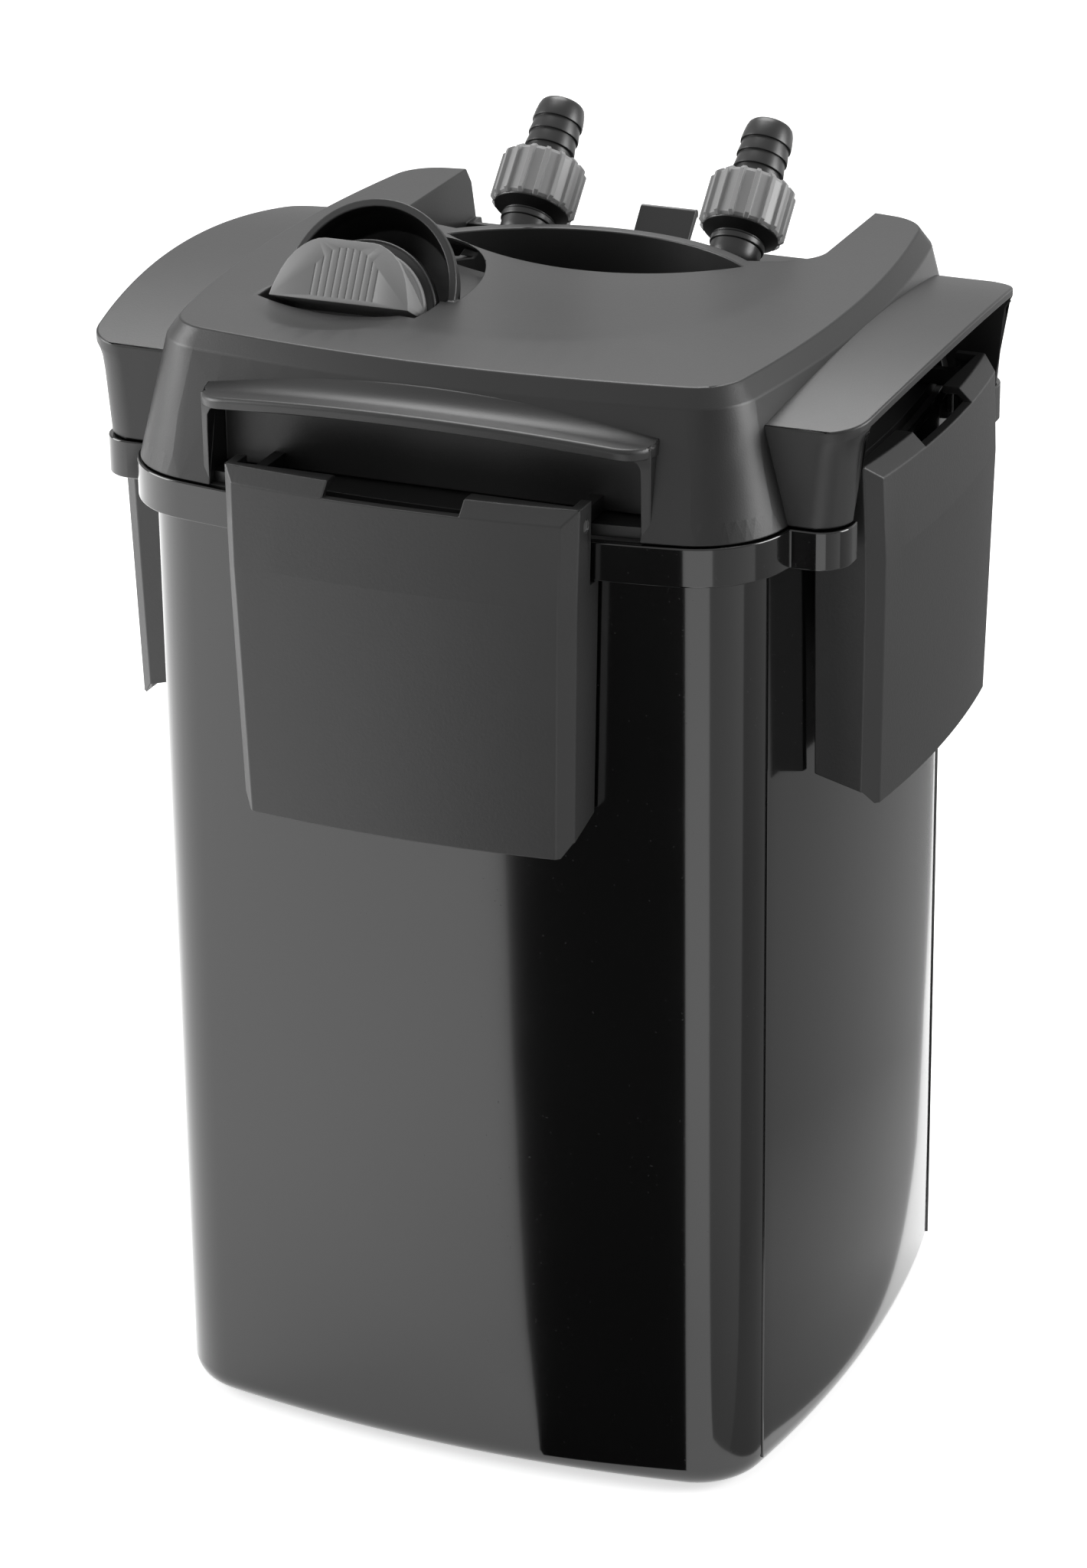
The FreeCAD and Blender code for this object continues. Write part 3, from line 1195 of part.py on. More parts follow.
def make_connectors():
    washers = []
    for side, name in ((-1, "inlet"), (1, "outlet")):
        ring = turned([(size.stub_bore, 0), (size.thread_radius, 0), (size.thread_radius, size.washer),
                       (size.stub_bore, size.washer)])
        washers.append(connector_frame(ring, side, thread_end + size.slack / 2))
        flange = size.thread_radius
        points = [(size.tail_bore, 0), (flange, 0), (flange, lip_start - size.slack - tail_start),
                  (size.barb_neck, lip_start - size.slack - tail_start)]
        length = tail_end - tail_start
        for number in range(BARBS):
            low = length - size.barb_pitch * (BARBS - number) - 1.6
            points += [(size.barb_neck, low), (size.barb_radius, low), (size.barb_radius, low + size.barb_land)]
            if number < BARBS - 1:
                points.append((size.barb_neck, low + size.barb_pitch - 0.4))
        points += [(size.barb_neck - 1, length), (size.tail_bore, length)]
        keep(f"hose_tail_{name}", connector_frame(turned(points), side, tail_start))
        body = doc.addObject("PartDesign::Body", "Body")
        ring = body_sketch(body)
        circle(ring, 0, 0, size.nut_radius)
        pad(body, ring, size.nut_length)
        rib = body_sketch(body)
        half = size.nut_rib_width / 2
        outline(rib, [(size.nut_radius - 2, -half), (size.nut_radius + size.nut_rib, -half),
                      (size.nut_radius + size.nut_rib, half), (size.nut_radius - 2, half)])
        first = pad(body, rib, size.nut_length)
        body.Tip = first
        doc.recompute()
        pattern = body.newObject("PartDesign::PolarPattern", "PolarPattern")
        pattern.Originals = [first]
        pattern.Axis = (rib, ["N_Axis"])
        pattern.Angle = 360
        pattern.Occurrences = NUT_RIBS
        body.Tip = pattern
        top, outer = size.nut_length, size.nut_radius + size.nut_rib
        bore, hole = size.thread_radius + size.slack, size.barb_radius + size.slack
        shape = turned([(bore, 0), (outer - 1.4, 0), (outer, 1.4), (outer, top - 2), (outer - 1.8, top),
                        (hole, top), (hole, top - size.nut_lip), (bore, top - size.nut_lip)])
        keep(f"union_nut_{name}", connector_frame(group(overlap(body, shape)), side, size.nut_start))
    keep("tail_washers", group(*washers))


def make_release_slide():
    nose = size.recess_wall - size.slack
    slab = box((-size.slide_half, size.slide_half), (size.slide_front, nose),
               (slide_low, slide_low + size.slide_thickness))
    top = slide_low + size.tab_height
    back = size.tab_back - size.tab_lean
    tab = side_plate(-size.tab_half, size.tab_half, [
        (back - size.tab_thickness, slide_low + 0.5), (back, slide_low + 0.5), (size.tab_back, top),
        (size.tab_back - size.tab_thickness, top)])
    lip = rod(size.tab_thickness * 0.7, size.tab_half * 2, -size.tab_half, size.tab_back - size.tab_thickness / 2,
              top, Y_AXIS, 90)
    keep("release_slide", join(slab, tab, lip))


# Motor, rotor, impeller and pump cover

def make_motor():
    low = size.flange_top + size.slack
    step = low + size.flange_thickness
    inner = size.motor_radius - size.motor_wall
    outside = size.well_radius + size.well_wall
    end = size.well_top + size.well_wall
    can = turned([(size.well_radius, size.pump_roof), (size.motor_neck, size.pump_roof),
                  (size.motor_neck, low), (size.motor_flange, low), (size.motor_flange, step),
                  (size.motor_radius, step), (size.motor_radius, size.motor_top), (inner, size.motor_top),
                  (inner, low + size.motor_wall), (outside, low + size.motor_wall), (outside, end),
                  (0, end), (0, size.well_top), (size.well_radius, size.well_top)])
    holes = [rod(size.screw_radius + size.slack, size.flange_thickness * 3,
                 spot[0] - size.pump_across, spot[1] - size.pump_back, low - size.flange_thickness)
             for spot in motor_spots]
    keep("motor_housing", place(group(cut(can, *holes)), *pump, 0))
    keep("motor_cap", rod(size.motor_radius, size.motor_wall, *pump, size.motor_top + size.slack))
    keep("motor_screws", group(*[screw(*spot, step, up=False) for spot in motor_spots]))
    core_top = size.core_bottom + size.core_height
    yoke = cut(rod(size.yoke_radius, size.core_height, *pump, size.core_bottom),
               rod(size.yoke_radius - size.yoke_width, size.core_height + 2, *pump, size.core_bottom - 1))
    reach = size.yoke_radius - size.yoke_width / 2
    poles = box((size.pump_across - reach, size.pump_across + reach),
                (size.pump_back - size.core_width / 2, size.pump_back + size.core_width / 2),
                (size.core_bottom, core_top))
    gap = rod(outside + size.slack, size.core_height * 2, *pump, size.core_bottom - 1)
    keep("stator_core", cut(join(yoke, poles), gap))
    coils = []
    for side in (-1, 1):
        x = sorted((size.pump_across + side * (outside + 1.5),
                    size.pump_across + side * (size.yoke_radius - size.yoke_width - 1)),
                   key=lambda s: s.value)
        half = size.core_width / 2 + size.slack
        wide = half + size.coil_thickness
        up = size.core_bottom - size.slack
        ring = box(x, (size.pump_back - wide, size.pump_back + wide),
                   (up - size.coil_thickness / 2, core_top + size.slack + size.coil_thickness / 2))
        pole = box((x[0] - 1, x[1] + 1), (size.pump_back - half, size.pump_back + half),
                   (up, core_top + size.slack))
        round_in = rod(size.yoke_radius - size.yoke_width - size.slack, size.deck_top, *pump, 0)
        coils.append(cut(overlap(ring, round_in), pole))
    keep("stator_coils", group(*coils))


def make_rotor():
    bore = size.shaft_radius + size.running
    magnet = turned([(bore, size.rotor_bottom), (size.rotor_radius, size.rotor_bottom),
                     (size.rotor_radius, size.rotor_top), (bore, size.rotor_top)])
    keep("rotor_magnet", place(magnet, *pump, 0))
    body = doc.addObject("PartDesign::Body", "Body")
    hub = body_sketch(body, height=size.impeller_bottom)
    circle(hub, 0, 0, size.hub_radius)
    pad(body, hub, size.rotor_bottom - size.impeller_bottom)
    blade = body_sketch(body, height=size.impeller_bottom)
    half = size.blade_thickness / 2
    outline(blade, [(size.hub_radius - 2, -half), (size.impeller_radius, -half), (size.impeller_radius, half),
                    (size.hub_radius - 2, half)])
    first = pad(body, blade, size.impeller_height)
    body.Tip = first
    doc.recompute()
    pattern = body.newObject("PartDesign::PolarPattern", "PolarPattern")
    pattern.Originals = [first]
    pattern.Axis = (blade, ["N_Axis"])
    pattern.Angle = 360
    pattern.Occurrences = BLADES
    body.Tip = pattern
    doc.recompute()
    centre = body_sketch(body, height=size.rotor_bottom)
    circle(centre, 0, 0, bore)
    pad(body, centre, size.rotor_bottom - size.impeller_bottom, "PartDesign::Pocket")
    keep("impeller", place(body, *pump, 0))
    foot = size.pump_bottom - size.slack - size.cover_plate
    low = foot + 1
    high = size.well_top - 1
    keep("impeller_shaft", rod(size.shaft_radius, high - low, *pump, low))
    bush = [(bore, 0), (size.bush_radius, 0), (size.bush_radius, size.bush_height), (bore, size.bush_height)]
    upper = place(turned(bush), *pump, size.well_top - size.slack - size.bush_height)
    lower = place(turned(bush), *pump, size.pump_bottom)
    keep("shaft_bushes", group(upper, lower))


def make_pump_cover():
    high = size.pump_bottom - size.slack
    low = high - size.cover_plate
    plate = rod(size.pump_radius, size.cover_plate, *pump, low)
    ears = [rod(size.cover_ear, size.cover_plate, *spot, low) for spot in cover_spots]
    inlet = rod(size.inlet_radius, size.cover_plate + 2, *pump, low - 1)
    hub = rod(size.hub_radius, size.cover_plate + size.bush_height, *pump, low)
    half = size.spoke_width / 2
    reach = size.inlet_radius + 1
    spokes = [box((size.pump_across - reach, size.pump_across + reach),
                  (size.pump_back - half, size.pump_back + half), (low, high)),
              box((size.pump_across - half, size.pump_across + half),
                  (size.pump_back - reach, size.pump_back + reach), (low, high))]
    bush_seat = rod(size.bush_radius + size.running, size.bush_height * 2, *pump, size.pump_bottom - size.slack / 2)
    shaft_seat = rod(size.shaft_radius + size.running, size.cover_plate * 3, *pump, low + 1 - size.slack)
    ring_out, ring_in = size.pump_radius - 1.6, size.pump_radius - 4.2
    depth = 2
    groove = cut(rod(ring_out + size.slack / 2, depth + 1, *pump, high - depth),
                 rod(ring_in - size.slack / 2, depth + 3, *pump, high - depth - 1))
    holes = [rod(size.screw_radius + size.slack, size.cover_plate * 3, *spot, low - size.cover_plate)
             for spot in cover_spots]
    keep("pump_cover", cut(join(cut(join(plate, *ears), inlet), hub, *spokes), bush_seat, shaft_seat,
                           groove, *holes))
    seal = turned([(ring_in, high - depth), (ring_out, high - depth), (ring_out, size.pump_bottom),
                   (ring_in, size.pump_bottom)])
    keep("pump_cover_seal", place(seal, *pump, 0))
    keep("pump_cover_screws", group(*[screw(*spot, low) for spot in cover_spots]))


def make_small_parts():
    keep("cover_screws", group(*[screw(*spot, head_bottom) for spot in boss_spots]))
    start = size.recess_wall - size.head_wall
    gland = cut(rod(size.gland_radius, size.gland_end - start, 0, 0, 0),
                rod(size.gland_bore, size.gland_end * 2, 0, 0, -1))
    keep("cable_gland", place(group(gland), size.gland_across, size.gland_end, size.gland_height, X_AXIS, 90))


make_canister()
make_feet()
make_seal()
for number in range(BASKETS):
    make_basket(number)
make_basket_lid()
filling("coarse_sponge", 0, 0.5)
filling("ring_media", 1, 1.0)
filling("ball_media", 2, 1.0)
filling("fine_sponge", 3, 1.0)
make_pipe()
make_head_base()
make_head_cover()
make_latches()
make_knob()
make_hose_block()
make_connectors()
make_release_slide()
make_motor()
make_rotor()
make_pump_cover()
make_small_parts()
doc.recompute()

for item in doc.Objects:
    if "Invalid" in item.State or "Error" in item.State:
        raise RuntimeError(f"{item.Label} failed: {item.State}")
os.makedirs("parts", exist_ok=True)
for item in parts:
    if item.Shape.isNull() or not item.Shape.isValid():
        raise RuntimeError(f"{item.Label} has no valid shape")
for item in parts:
    item.Shape.exportStep(os.path.join("parts", item.Label + ".step"))
    print(item.Label, len(item.Shape.Solids), round(item.Shape.Volume / 1000, 1))
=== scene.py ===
# Canister filter: finishes, fine shapes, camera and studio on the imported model
import math
import bmesh
import bpy
from mathutils import Matrix, Vector, noise


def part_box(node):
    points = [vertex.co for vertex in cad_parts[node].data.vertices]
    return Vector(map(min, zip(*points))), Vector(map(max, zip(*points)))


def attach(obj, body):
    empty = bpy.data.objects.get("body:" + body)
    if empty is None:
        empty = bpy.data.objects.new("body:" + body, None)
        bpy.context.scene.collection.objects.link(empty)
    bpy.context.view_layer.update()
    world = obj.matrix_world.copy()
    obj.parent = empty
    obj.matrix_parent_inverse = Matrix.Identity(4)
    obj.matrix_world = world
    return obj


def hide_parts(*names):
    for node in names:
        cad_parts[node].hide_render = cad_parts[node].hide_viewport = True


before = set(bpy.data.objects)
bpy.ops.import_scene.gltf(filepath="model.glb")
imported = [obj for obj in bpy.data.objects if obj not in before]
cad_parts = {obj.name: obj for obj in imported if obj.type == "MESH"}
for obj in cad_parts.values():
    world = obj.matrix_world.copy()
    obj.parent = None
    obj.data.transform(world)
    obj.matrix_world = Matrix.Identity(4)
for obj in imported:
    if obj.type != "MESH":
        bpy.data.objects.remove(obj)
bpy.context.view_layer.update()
scene = bpy.context.scene

# Camera: a long lens in front of the filter, some way to its right and well above it.
# Its place and its angles follow from the picture's perspective.
turn, tilt, roll = math.radians(23.165), math.radians(23.289), math.radians(-0.752)
back = Vector((math.sin(turn) * math.cos(tilt), -math.cos(turn) * math.cos(tilt), math.sin(tilt)))
level = Vector((math.cos(turn), math.sin(turn), 0))
upward = back.cross(level)
across = level * math.cos(roll) + upward * math.sin(roll)
upright = upward * math.cos(roll) - level * math.sin(roll)
lens = bpy.data.cameras.new("camera")
lens.lens = 114.01
lens.sensor_width = 36
lens.clip_end = 50
camera = bpy.data.objects.new("camera", lens)
camera.matrix_world = Matrix((across, upright, back)).transposed().to_4x4()
camera.matrix_world.translation = (0.63537, -1.50361, 0.91588)
scene.collection.objects.link(camera)
scene.camera = camera
scene.view_settings.view_transform = "Standard"


# Studio: a white paper floor in a white surround, under three large soft lamps. Black, grey and
# pale cards lie and stand in front and to the right, where only glossy surfaces mirror them:
# they draw the dark and the light bands on the canister.

class Reading:
    """What one output socket of a graph carries, with arithmetic on it."""

    def __init__(self, graph, socket):
        self.graph = graph
        self.socket = socket

    def math(self, operation, first, second):
        return self.graph.node("ShaderNodeMath", {"operation": operation}, {0: first, 1: second})

    def __add__(self, other):
        return self.math("ADD", self, other)

    def __radd__(self, other):
        return self.math("ADD", other, self)

    def __sub__(self, other):
        return self.math("SUBTRACT", self, other)

    def __rsub__(self, other):
        return self.math("SUBTRACT", other, self)

    def __mul__(self, other):
        return self.math("MULTIPLY", self, other)

    def __rmul__(self, other):
        return self.math("MULTIPLY", other, self)

    def larger(self, other):
        return self.math("MAXIMUM", self, other)


class Graph:
    """A node tree that is written as calls and expressions."""

    def __init__(self, tree):
        self.tree = tree

    def node(self, kind, settings=None, sockets=None, output=0):
        made = self.tree.nodes.new(kind)
        for name, value in (settings or {}).items():
            if name == "stops":
                steps = made.color_ramp.elements
                while len(steps) < len(value):
                    steps.new(1.0)
                for step, (place, shade) in zip(steps, value):
                    step.position = place
                    step.color = (shade, shade, shade, 1)
            else:
                setattr(made, name, value)
        for key, value in (sockets or {}).items():
            if isinstance(value, Reading):
                self.tree.links.new(value.socket, made.inputs[key])
            else:
                made.inputs[key].default_value = value
        return Reading(self, made.outputs[output]) if len(made.outputs) else None


class Finish(Graph):
    """The finish of one sort of piece, with its pattern on the piece's own coordinates."""

    def __init__(self, name):
        self.material = bpy.data.materials.new(name)
        self.material.use_nodes = True
        super().__init__(self.material.node_tree)
        self.tree.nodes.clear()

    def noise(self, size, detail=2.0, stretch=(1, 1, 1)):
        """Noise whose patches are about as large as `size` in millimetres."""
        where = self.node("ShaderNodeTexCoord", output="Object")
        where = self.node("ShaderNodeMapping", {}, {"Vector": where, "Scale": stretch})
        sockets = {"Vector": where, "Scale": 1000 / size, "Detail": detail}
        return self.node("ShaderNodeTexNoise", {}, sockets)

    def ramp(self, value, *stops):
        return self.node("ShaderNodeValToRGB", {"stops": stops}, {0: value})

    def mix(self, mask, dark, light):
        """A colour between two others."""
        return self.node("ShaderNodeMix", {"data_type": "RGBA"}, {0: mask, 6: dark, 7: light}, output=2)

    def bump(self, height, strength, depth, **more):
        """A normal from a height, `depth` in millimetres."""
        sockets = {"Height": height, "Strength": strength, "Distance": depth * 0.001, **more}
        return self.node("ShaderNodeBump", {}, sockets)

    def surface(self, sockets):
        shader = self.node("ShaderNodeBsdfPrincipled", {}, sockets)
        self.node("ShaderNodeOutputMaterial", {}, {"Surface": shader})
        return self.material


def grey(shade, warmth=0.0):
    return (shade * (1 + warmth), shade, shade * (1 - warmth), 1)


def sheet(name, finish, *corners):
    """A flat sheet of the studio."""
    mesh = bpy.data.meshes.new(name)
    mesh.from_pydata(corners, [], [tuple(range(len(corners)))])
    mesh.materials.append(finish)
    made = bpy.data.objects.new(name, mesh)
    scene.collection.objects.link(made)
    return made


def card(name, finish, *corners):
    """A card that only glossy surfaces mirror. Without a height, its corners lie on the floor."""
    just_above_floor = (0.0005,)
    made = sheet(name, finish, *((corner + just_above_floor)[:3] for corner in corners))
    for view in ("visible_camera", "visible_diffuse", "visible_shadow", "visible_transmission"):
        setattr(made, view, False)


paper = Finish("white_paper")
path = "ShaderNodeLightPath"
seen = paper.node(path, output="Is Camera Ray").larger(paper.node(path, output="Is Glossy Ray"))
seen = seen.larger(paper.node(path, output="Is Transmission Ray"))
fibre = paper.mix(paper.noise(3.0), grey(0.80), grey(0.82))
matt = paper.node("ShaderNodeBsdfDiffuse", {}, {"Color": fibre})
lit = paper.node("ShaderNodeEmission", {}, {"Color": grey(1.0), "Strength": seen * 0.6})
both = paper.node("ShaderNodeAddShader", {}, {0: matt, 1: lit})
paper.node("ShaderNodeOutputMaterial", {}, {"Surface": both})
sheet("floor", paper.material, (-9, -9, 0), (9, -9, 0), (9, 9, 0), (-9, 9, 0))

black_card = Finish("black_card").surface({"Base Color": grey(0.002), "Roughness": 1.0})
card("black_card", black_card, (0.036, -0.122), (0.091, -0.122), (0.197, -1.31), (-0.6, -1.31),
     (-0.6, -0.93), (-0.234, -0.93))
dull = Finish("grey_card")
spread = dull.node("ShaderNodeTexCoord", output="Object")
spread = dull.node("ShaderNodeVectorMath", {"operation": "LENGTH"}, {0: spread}, output="Value")
fading = dull.ramp(spread, (0.15, 0.42), (0.3, 0.25), (0.6, 0.21))
grey_card = dull.surface({"Base Color": fading, "Roughness": 1.0})
card("grey_card", grey_card, (0.125, -0.11), (1.6, -0.11), (1.6, 1.6), (0.05, 1.6), (0.122, 0.3))
light_card = Finish("light_card").surface({"Base Color": grey(0.52), "Roughness": 1.0})
card("light_card", light_card, (0.122, -0.13), (1.1, -1.4), (1.6, -1.4), (1.6, -0.11), (0.125, -0.11))
card("standing_card", grey_card, (0.75, -1.75, 0.0), (1.75, -0.6, 0.0), (1.75, -0.6, 0.95),
     (0.75, -1.75, 0.95))

surround = bpy.data.worlds.new("surround")
surround.use_nodes = True
surround.node_tree.nodes.clear()
scene.world = surround
sky = Graph(surround.node_tree)
seen = sky.node(path, output="Is Camera Ray").larger(sky.node(path, output="Is Transmission Ray"))
shown = seen + (1 - seen) * (0.5 + 0.12 * sky.node(path, output="Is Glossy Ray"))
light = sky.node("ShaderNodeBackground", {}, {"Color": grey(1.0), "Strength": shown})
sky.node("ShaderNodeOutputWorld", {}, {"Surface": light})

for name, spot, aim, width, watts in (
        ("left_lamp", (-2.0, -0.6, 1.0), (0, 0, 0.25), 1.3, 34),
        ("right_lamp", (1.9, 0.5, 0.9), (0, 0, 0.25), 1.1, 30),
        ("top_lamp", (-0.4, 0.9, 2.0), (0, 0, 0.35), 1.2, 26)):
    lamp = bpy.data.lights.new(name, "AREA")
    lamp.shape = "SQUARE"
    lamp.size = width
    lamp.energy = watts
    holder = bpy.data.objects.new(name, lamp)
    holder.location = spot
    holder.rotation_euler = (Vector(aim) - Vector(spot)).to_track_quat("-Z", "Y").to_euler()
    scene.collection.objects.link(holder)


# Canister: a deeply glossy black box, injection moulded in one piece, with bowed sides, a rounded
# foot, and a fine upright ridge near both ends of its left and right sides.

canister_half, side_bulge, corner_round = 118.0, 520.0, 27.0
canister_foot, foot_round, canister_rim, canister_wall = 2.0, 9.0, 355.4, 3.4
ridge_out, ridge_along, ridge_low, ridge_high = 110.5, 89.1, 9, 344


def bowed_square(half, side_steps=28, corner_steps=12):
    """The canister's outline seen from above, or one inside or outside it."""
    shrink = canister_half - half
    bulge, corner = side_bulge - shrink, corner_round - shrink
    behind, reach = bulge - half, bulge - corner
    middle = (-behind + math.sqrt(2 * reach ** 2 - behind ** 2)) / 2
    lean = math.atan2(middle, middle + behind)
    points = []
    for side in range(4):
        facing = side * math.pi / 2
        for step in range(side_steps):
            angle = facing - lean + 2 * lean * step / side_steps
            points.append((bulge * math.cos(angle) - behind * math.cos(facing),
                           bulge * math.sin(angle) - behind * math.sin(facing)))
        spot = middle * math.sqrt(2)
        for step in range(corner_steps):
            angle = facing + lean + (math.pi / 2 - 2 * lean) * step / corner_steps
            points.append((spot * math.cos(facing + math.pi / 4) + corner * math.cos(angle),
                           spot * math.sin(facing + math.pi / 4) + corner * math.sin(angle)))
    return points


def arc(radius, steps, start=0, stop=90):
    """Points on an arc about the origin, with angles in degrees."""
    for step in range(steps + 1):
        angle = math.radians(start + (stop - start) * step / steps)
        yield radius * math.cos(angle), radius * math.sin(angle)


def skin(bm, rings, closed=False):
    """Quads between rings of points, with the first and last ring filled, or joined if closed."""
    rows = [[bm.verts.new(point) for point in ring] for ring in rings]
    pairs = list(zip(rows, rows[1:])) + ([(rows[-1], rows[0])] if closed else [])
    for low, high in pairs:
        for step in range(len(low)):
            after = (step + 1) % len(low)
            bm.faces.new((low[step], low[after], high[after], high[step]))
    if not closed:
        for row in (rows[0], rows[-1]):
            bm.faces.new(row)


def plate(bm, outline, low, high):
    """An upright plate over an outline."""
    skin(bm, [[(x, y, z) for x, y in outline] for z in (low, high)])


def piece(name, bm, finish, sharp=32):
    """An object from a mesh in millimetres, with its faces turned outwards."""
    bmesh.ops.remove_doubles(bm, verts=bm.verts, dist=0.001)
    bmesh.ops.recalc_face_normals(bm, faces=bm.faces)
    bmesh.ops.scale(bm, vec=(0.001, 0.001, 0.001), verts=bm.verts)
    mesh = bpy.data.meshes.new(name)
    bm.to_mesh(mesh)
    bm.free()
    mesh.shade_smooth()
    mesh.set_sharp_from_angle(angle=math.radians(sharp))
    mesh.materials.append(finish)
    made = bpy.data.objects.new(name, mesh)
    scene.collection.objects.link(made)
    return made


def fitted(made, body, slot, *nodes):
    """Fixes a piece to its body, in place of the nodes that it stands for. The slot is not used."""
    if nodes:
        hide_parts(*nodes)
    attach(made, body)
    return made


gloss = Finish("gloss_black")
ripple = gloss.noise(38.0, 1.0)
dust = gloss.ramp(gloss.noise(0.9, 1.0), (0.0, 0.0), (0.72, 0.0), (0.8, 1.0))
canister_gloss = gloss.surface({
    "Base Color": gloss.mix(dust * 0.12, grey(0.002), grey(0.03)),
    "Roughness": 0.09 + 0.05 * gloss.noise(60.0) + 0.2 * dust,
    "IOR": 1.58,
    "Coat Weight": 0.35,
    "Coat Roughness": 0.05,
    "Normal": gloss.bump(ripple, 0.12, 0.5)})

bm = bmesh.new()
levels = [(canister_half - foot_round + up, canister_foot + foot_round - out)
          for out, up in arc(foot_round, 8)]
levels += [(canister_half, z) for z in (60, 150, 250, 335, canister_rim)]
levels += [(canister_half - canister_wall, z) for z in (canister_rim, 250, 100, 10)]
levels += [(canister_half - 7, 6.2)]
skin(bm, [[(x, y, z) for x, y in bowed_square(half)] for half, z in levels])
ridge = [(-0.6, 0.0), (-0.4, -0.2), (0.25, -0.05), (0.25, 0.2), (-0.4, 0.3)]
for side, end in ((1, 1), (1, -1), (-1, 1), (-1, -1)):
    outline = [(side * (ridge_out + x), end * (ridge_along + y)) for x, y in ridge]
    plate(bm, outline, ridge_low, ridge_high)
fitted(piece("canister_shell", bm, canister_gloss, 40), "casing", "canister_gloss", "canister")


# Collar: the thick rim round the canister's mouth, of the same glossy moulding. The latches hook
# under it, and two rounded pads stand out on its left side and two on its right, under the hoods.

collar_low, collar_high, collar_half = 342.5, 355.9, 124.3
pad_near, pad_far, pad_reach, pad_corner = 71.5, 87.0, 134.8, 11.0


def softened(made, width, sharp=32, segments=3, weighted=True):
    """Rounds the sharp edges of a piece by `width` in millimetres, and keeps its large faces plain."""
    rounding = made.modifiers.new("rounding", "BEVEL")
    rounding.width = width * 0.001
    rounding.segments = segments
    rounding.limit_method = "ANGLE"
    rounding.angle_limit = math.radians(sharp)
    rounding.use_clamp_overlap = False
    if weighted:
        made.modifiers.new("weighting", "WEIGHTED_NORMAL").keep_sharp = True
    return made


def settled(made, sharp=32):
    """Makes a piece's modifiers part of its mesh."""
    bpy.context.view_layer.update()
    mesh = bpy.data.meshes.new_from_object(made.evaluated_get(bpy.context.evaluated_depsgraph_get()))
    made.modifiers.clear()
    made.data = mesh
    if not mesh.has_custom_normals:
        mesh.shade_smooth()
        mesh.set_sharp_from_angle(angle=math.radians(sharp))
    return made


def from_the_right(outline):
    """The outline again, starting at the middle of its right side."""
    start = min(range(len(outline)), key=lambda step: abs(math.atan2(outline[step][1], outline[step][0])))
    return outline[start:] + outline[:start]


def belt(bm, outline, hole, low, high):
    """An upright ring between two outlines, with its flat faces cut in two at its left and right."""
    loops = [[[bm.verts.new((x, y, z)) for x, y in from_the_right(loop)] for z in (low, high)]
             for loop in (outline, hole)]
    for lower, upper in loops:
        for step in range(len(lower)):
            bm.faces.new((lower[step - 1], lower[step], upper[step], upper[step - 1]))
    for flat in zip(*loops):
        for half in (0, 1):
            outer, inner = [(loop + loop[:1])[half * (len(loop) // 2):][:len(loop) // 2 + 1]
                            for loop in flat]
            bm.faces.new(outer + inner[::-1])


def collar_outline():
    """The collar seen from above, with a rounded pad near each end of its left and right sides."""
    bulge = side_bulge - canister_half + collar_half
    near, far = [math.sqrt(bulge ** 2 - y ** 2) + canister_half - side_bulge for y in (pad_near, pad_far)]
    pad = [(near, pad_near), (pad_reach, pad_near)]
    pad += [(pad_reach - pad_corner + x, pad_far - pad_corner + y) for x, y in arc(pad_corner, 14)]
    pad += [(far, pad_far)]
    side = [point for point in bowed_square(collar_half, 56) if point[0] > 90 and abs(point[1]) < pad_near]
    side.sort(key=lambda point: point[1])
    right = [(x, -y) for x, y in reversed(pad)] + side + pad
    rear = [point for point in bowed_square(collar_half, 28, 14) if point[1] > pad_far]
    rear.sort(key=lambda point: -point[0])
    return right + rear + [(-x, -y) for x, y in right + rear]


bm = bmesh.new()
belt(bm, collar_outline(), bowed_square(canister_half - 1.5), collar_low, collar_high)
fitted(settled(softened(piece("canister_collar", bm, canister_gloss), 0.5)), "casing", "canister_gloss")


# Feet and seals: soft black rubber. Four pucks are pressed into sockets under the canister, one
# moulded ring lies in the groove round its mouth, and small rings seal the knob, hoses and pump.

elastic = Finish("black_rubber")
bloom = elastic.noise(14.0, 3.0)
rubber = elastic.surface({
    "Base Color": elastic.mix(bloom, grey(0.014), grey(0.03)),
    "Roughness": 0.62 + 0.2 * bloom,
    "Normal": elastic.bump(elastic.noise(0.5), 0.4, 0.08)})


def turned(bm, profile, steps, closed=False, middle=(0, 0)):
    """A turned shape about an upright axis, from pairs of radius and height."""
    angles = [2 * math.pi * step / steps for step in range(steps)]
    skin(bm, [[(middle[0] + radius * math.cos(angle), middle[1] + radius * math.sin(angle), z)
               for angle in angles] for radius, z in profile], closed)


def dress(finish, *nodes):
    """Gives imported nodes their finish."""
    for node in nodes:
        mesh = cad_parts[node].data
        if not mesh.materials:
            mesh.materials.append(finish)
        for number in range(len(mesh.materials)):
            mesh.materials[number] = finish


bm = bmesh.new()
for x in (-84, 84):
    for y in (-84, 84):
        turned(bm, [(9.2, 0.0), (9.8, 0.25), (10.0, 0.9), (10.0, 4.0)], 36, middle=(x, y))
fitted(piece("rubber_pucks", bm, rubber), "casing", "rubber", "rubber_feet")
dress(rubber, "canister_seal", "knob_seal", "hose_block_seals", "tail_washers", "pump_cover_seal")


# Baskets, lid and pipe: dark grey moulded plastic. Four baskets with slotted floors stand on
# each other inside the canister, and the pipe runs through the sleeves in their corner.

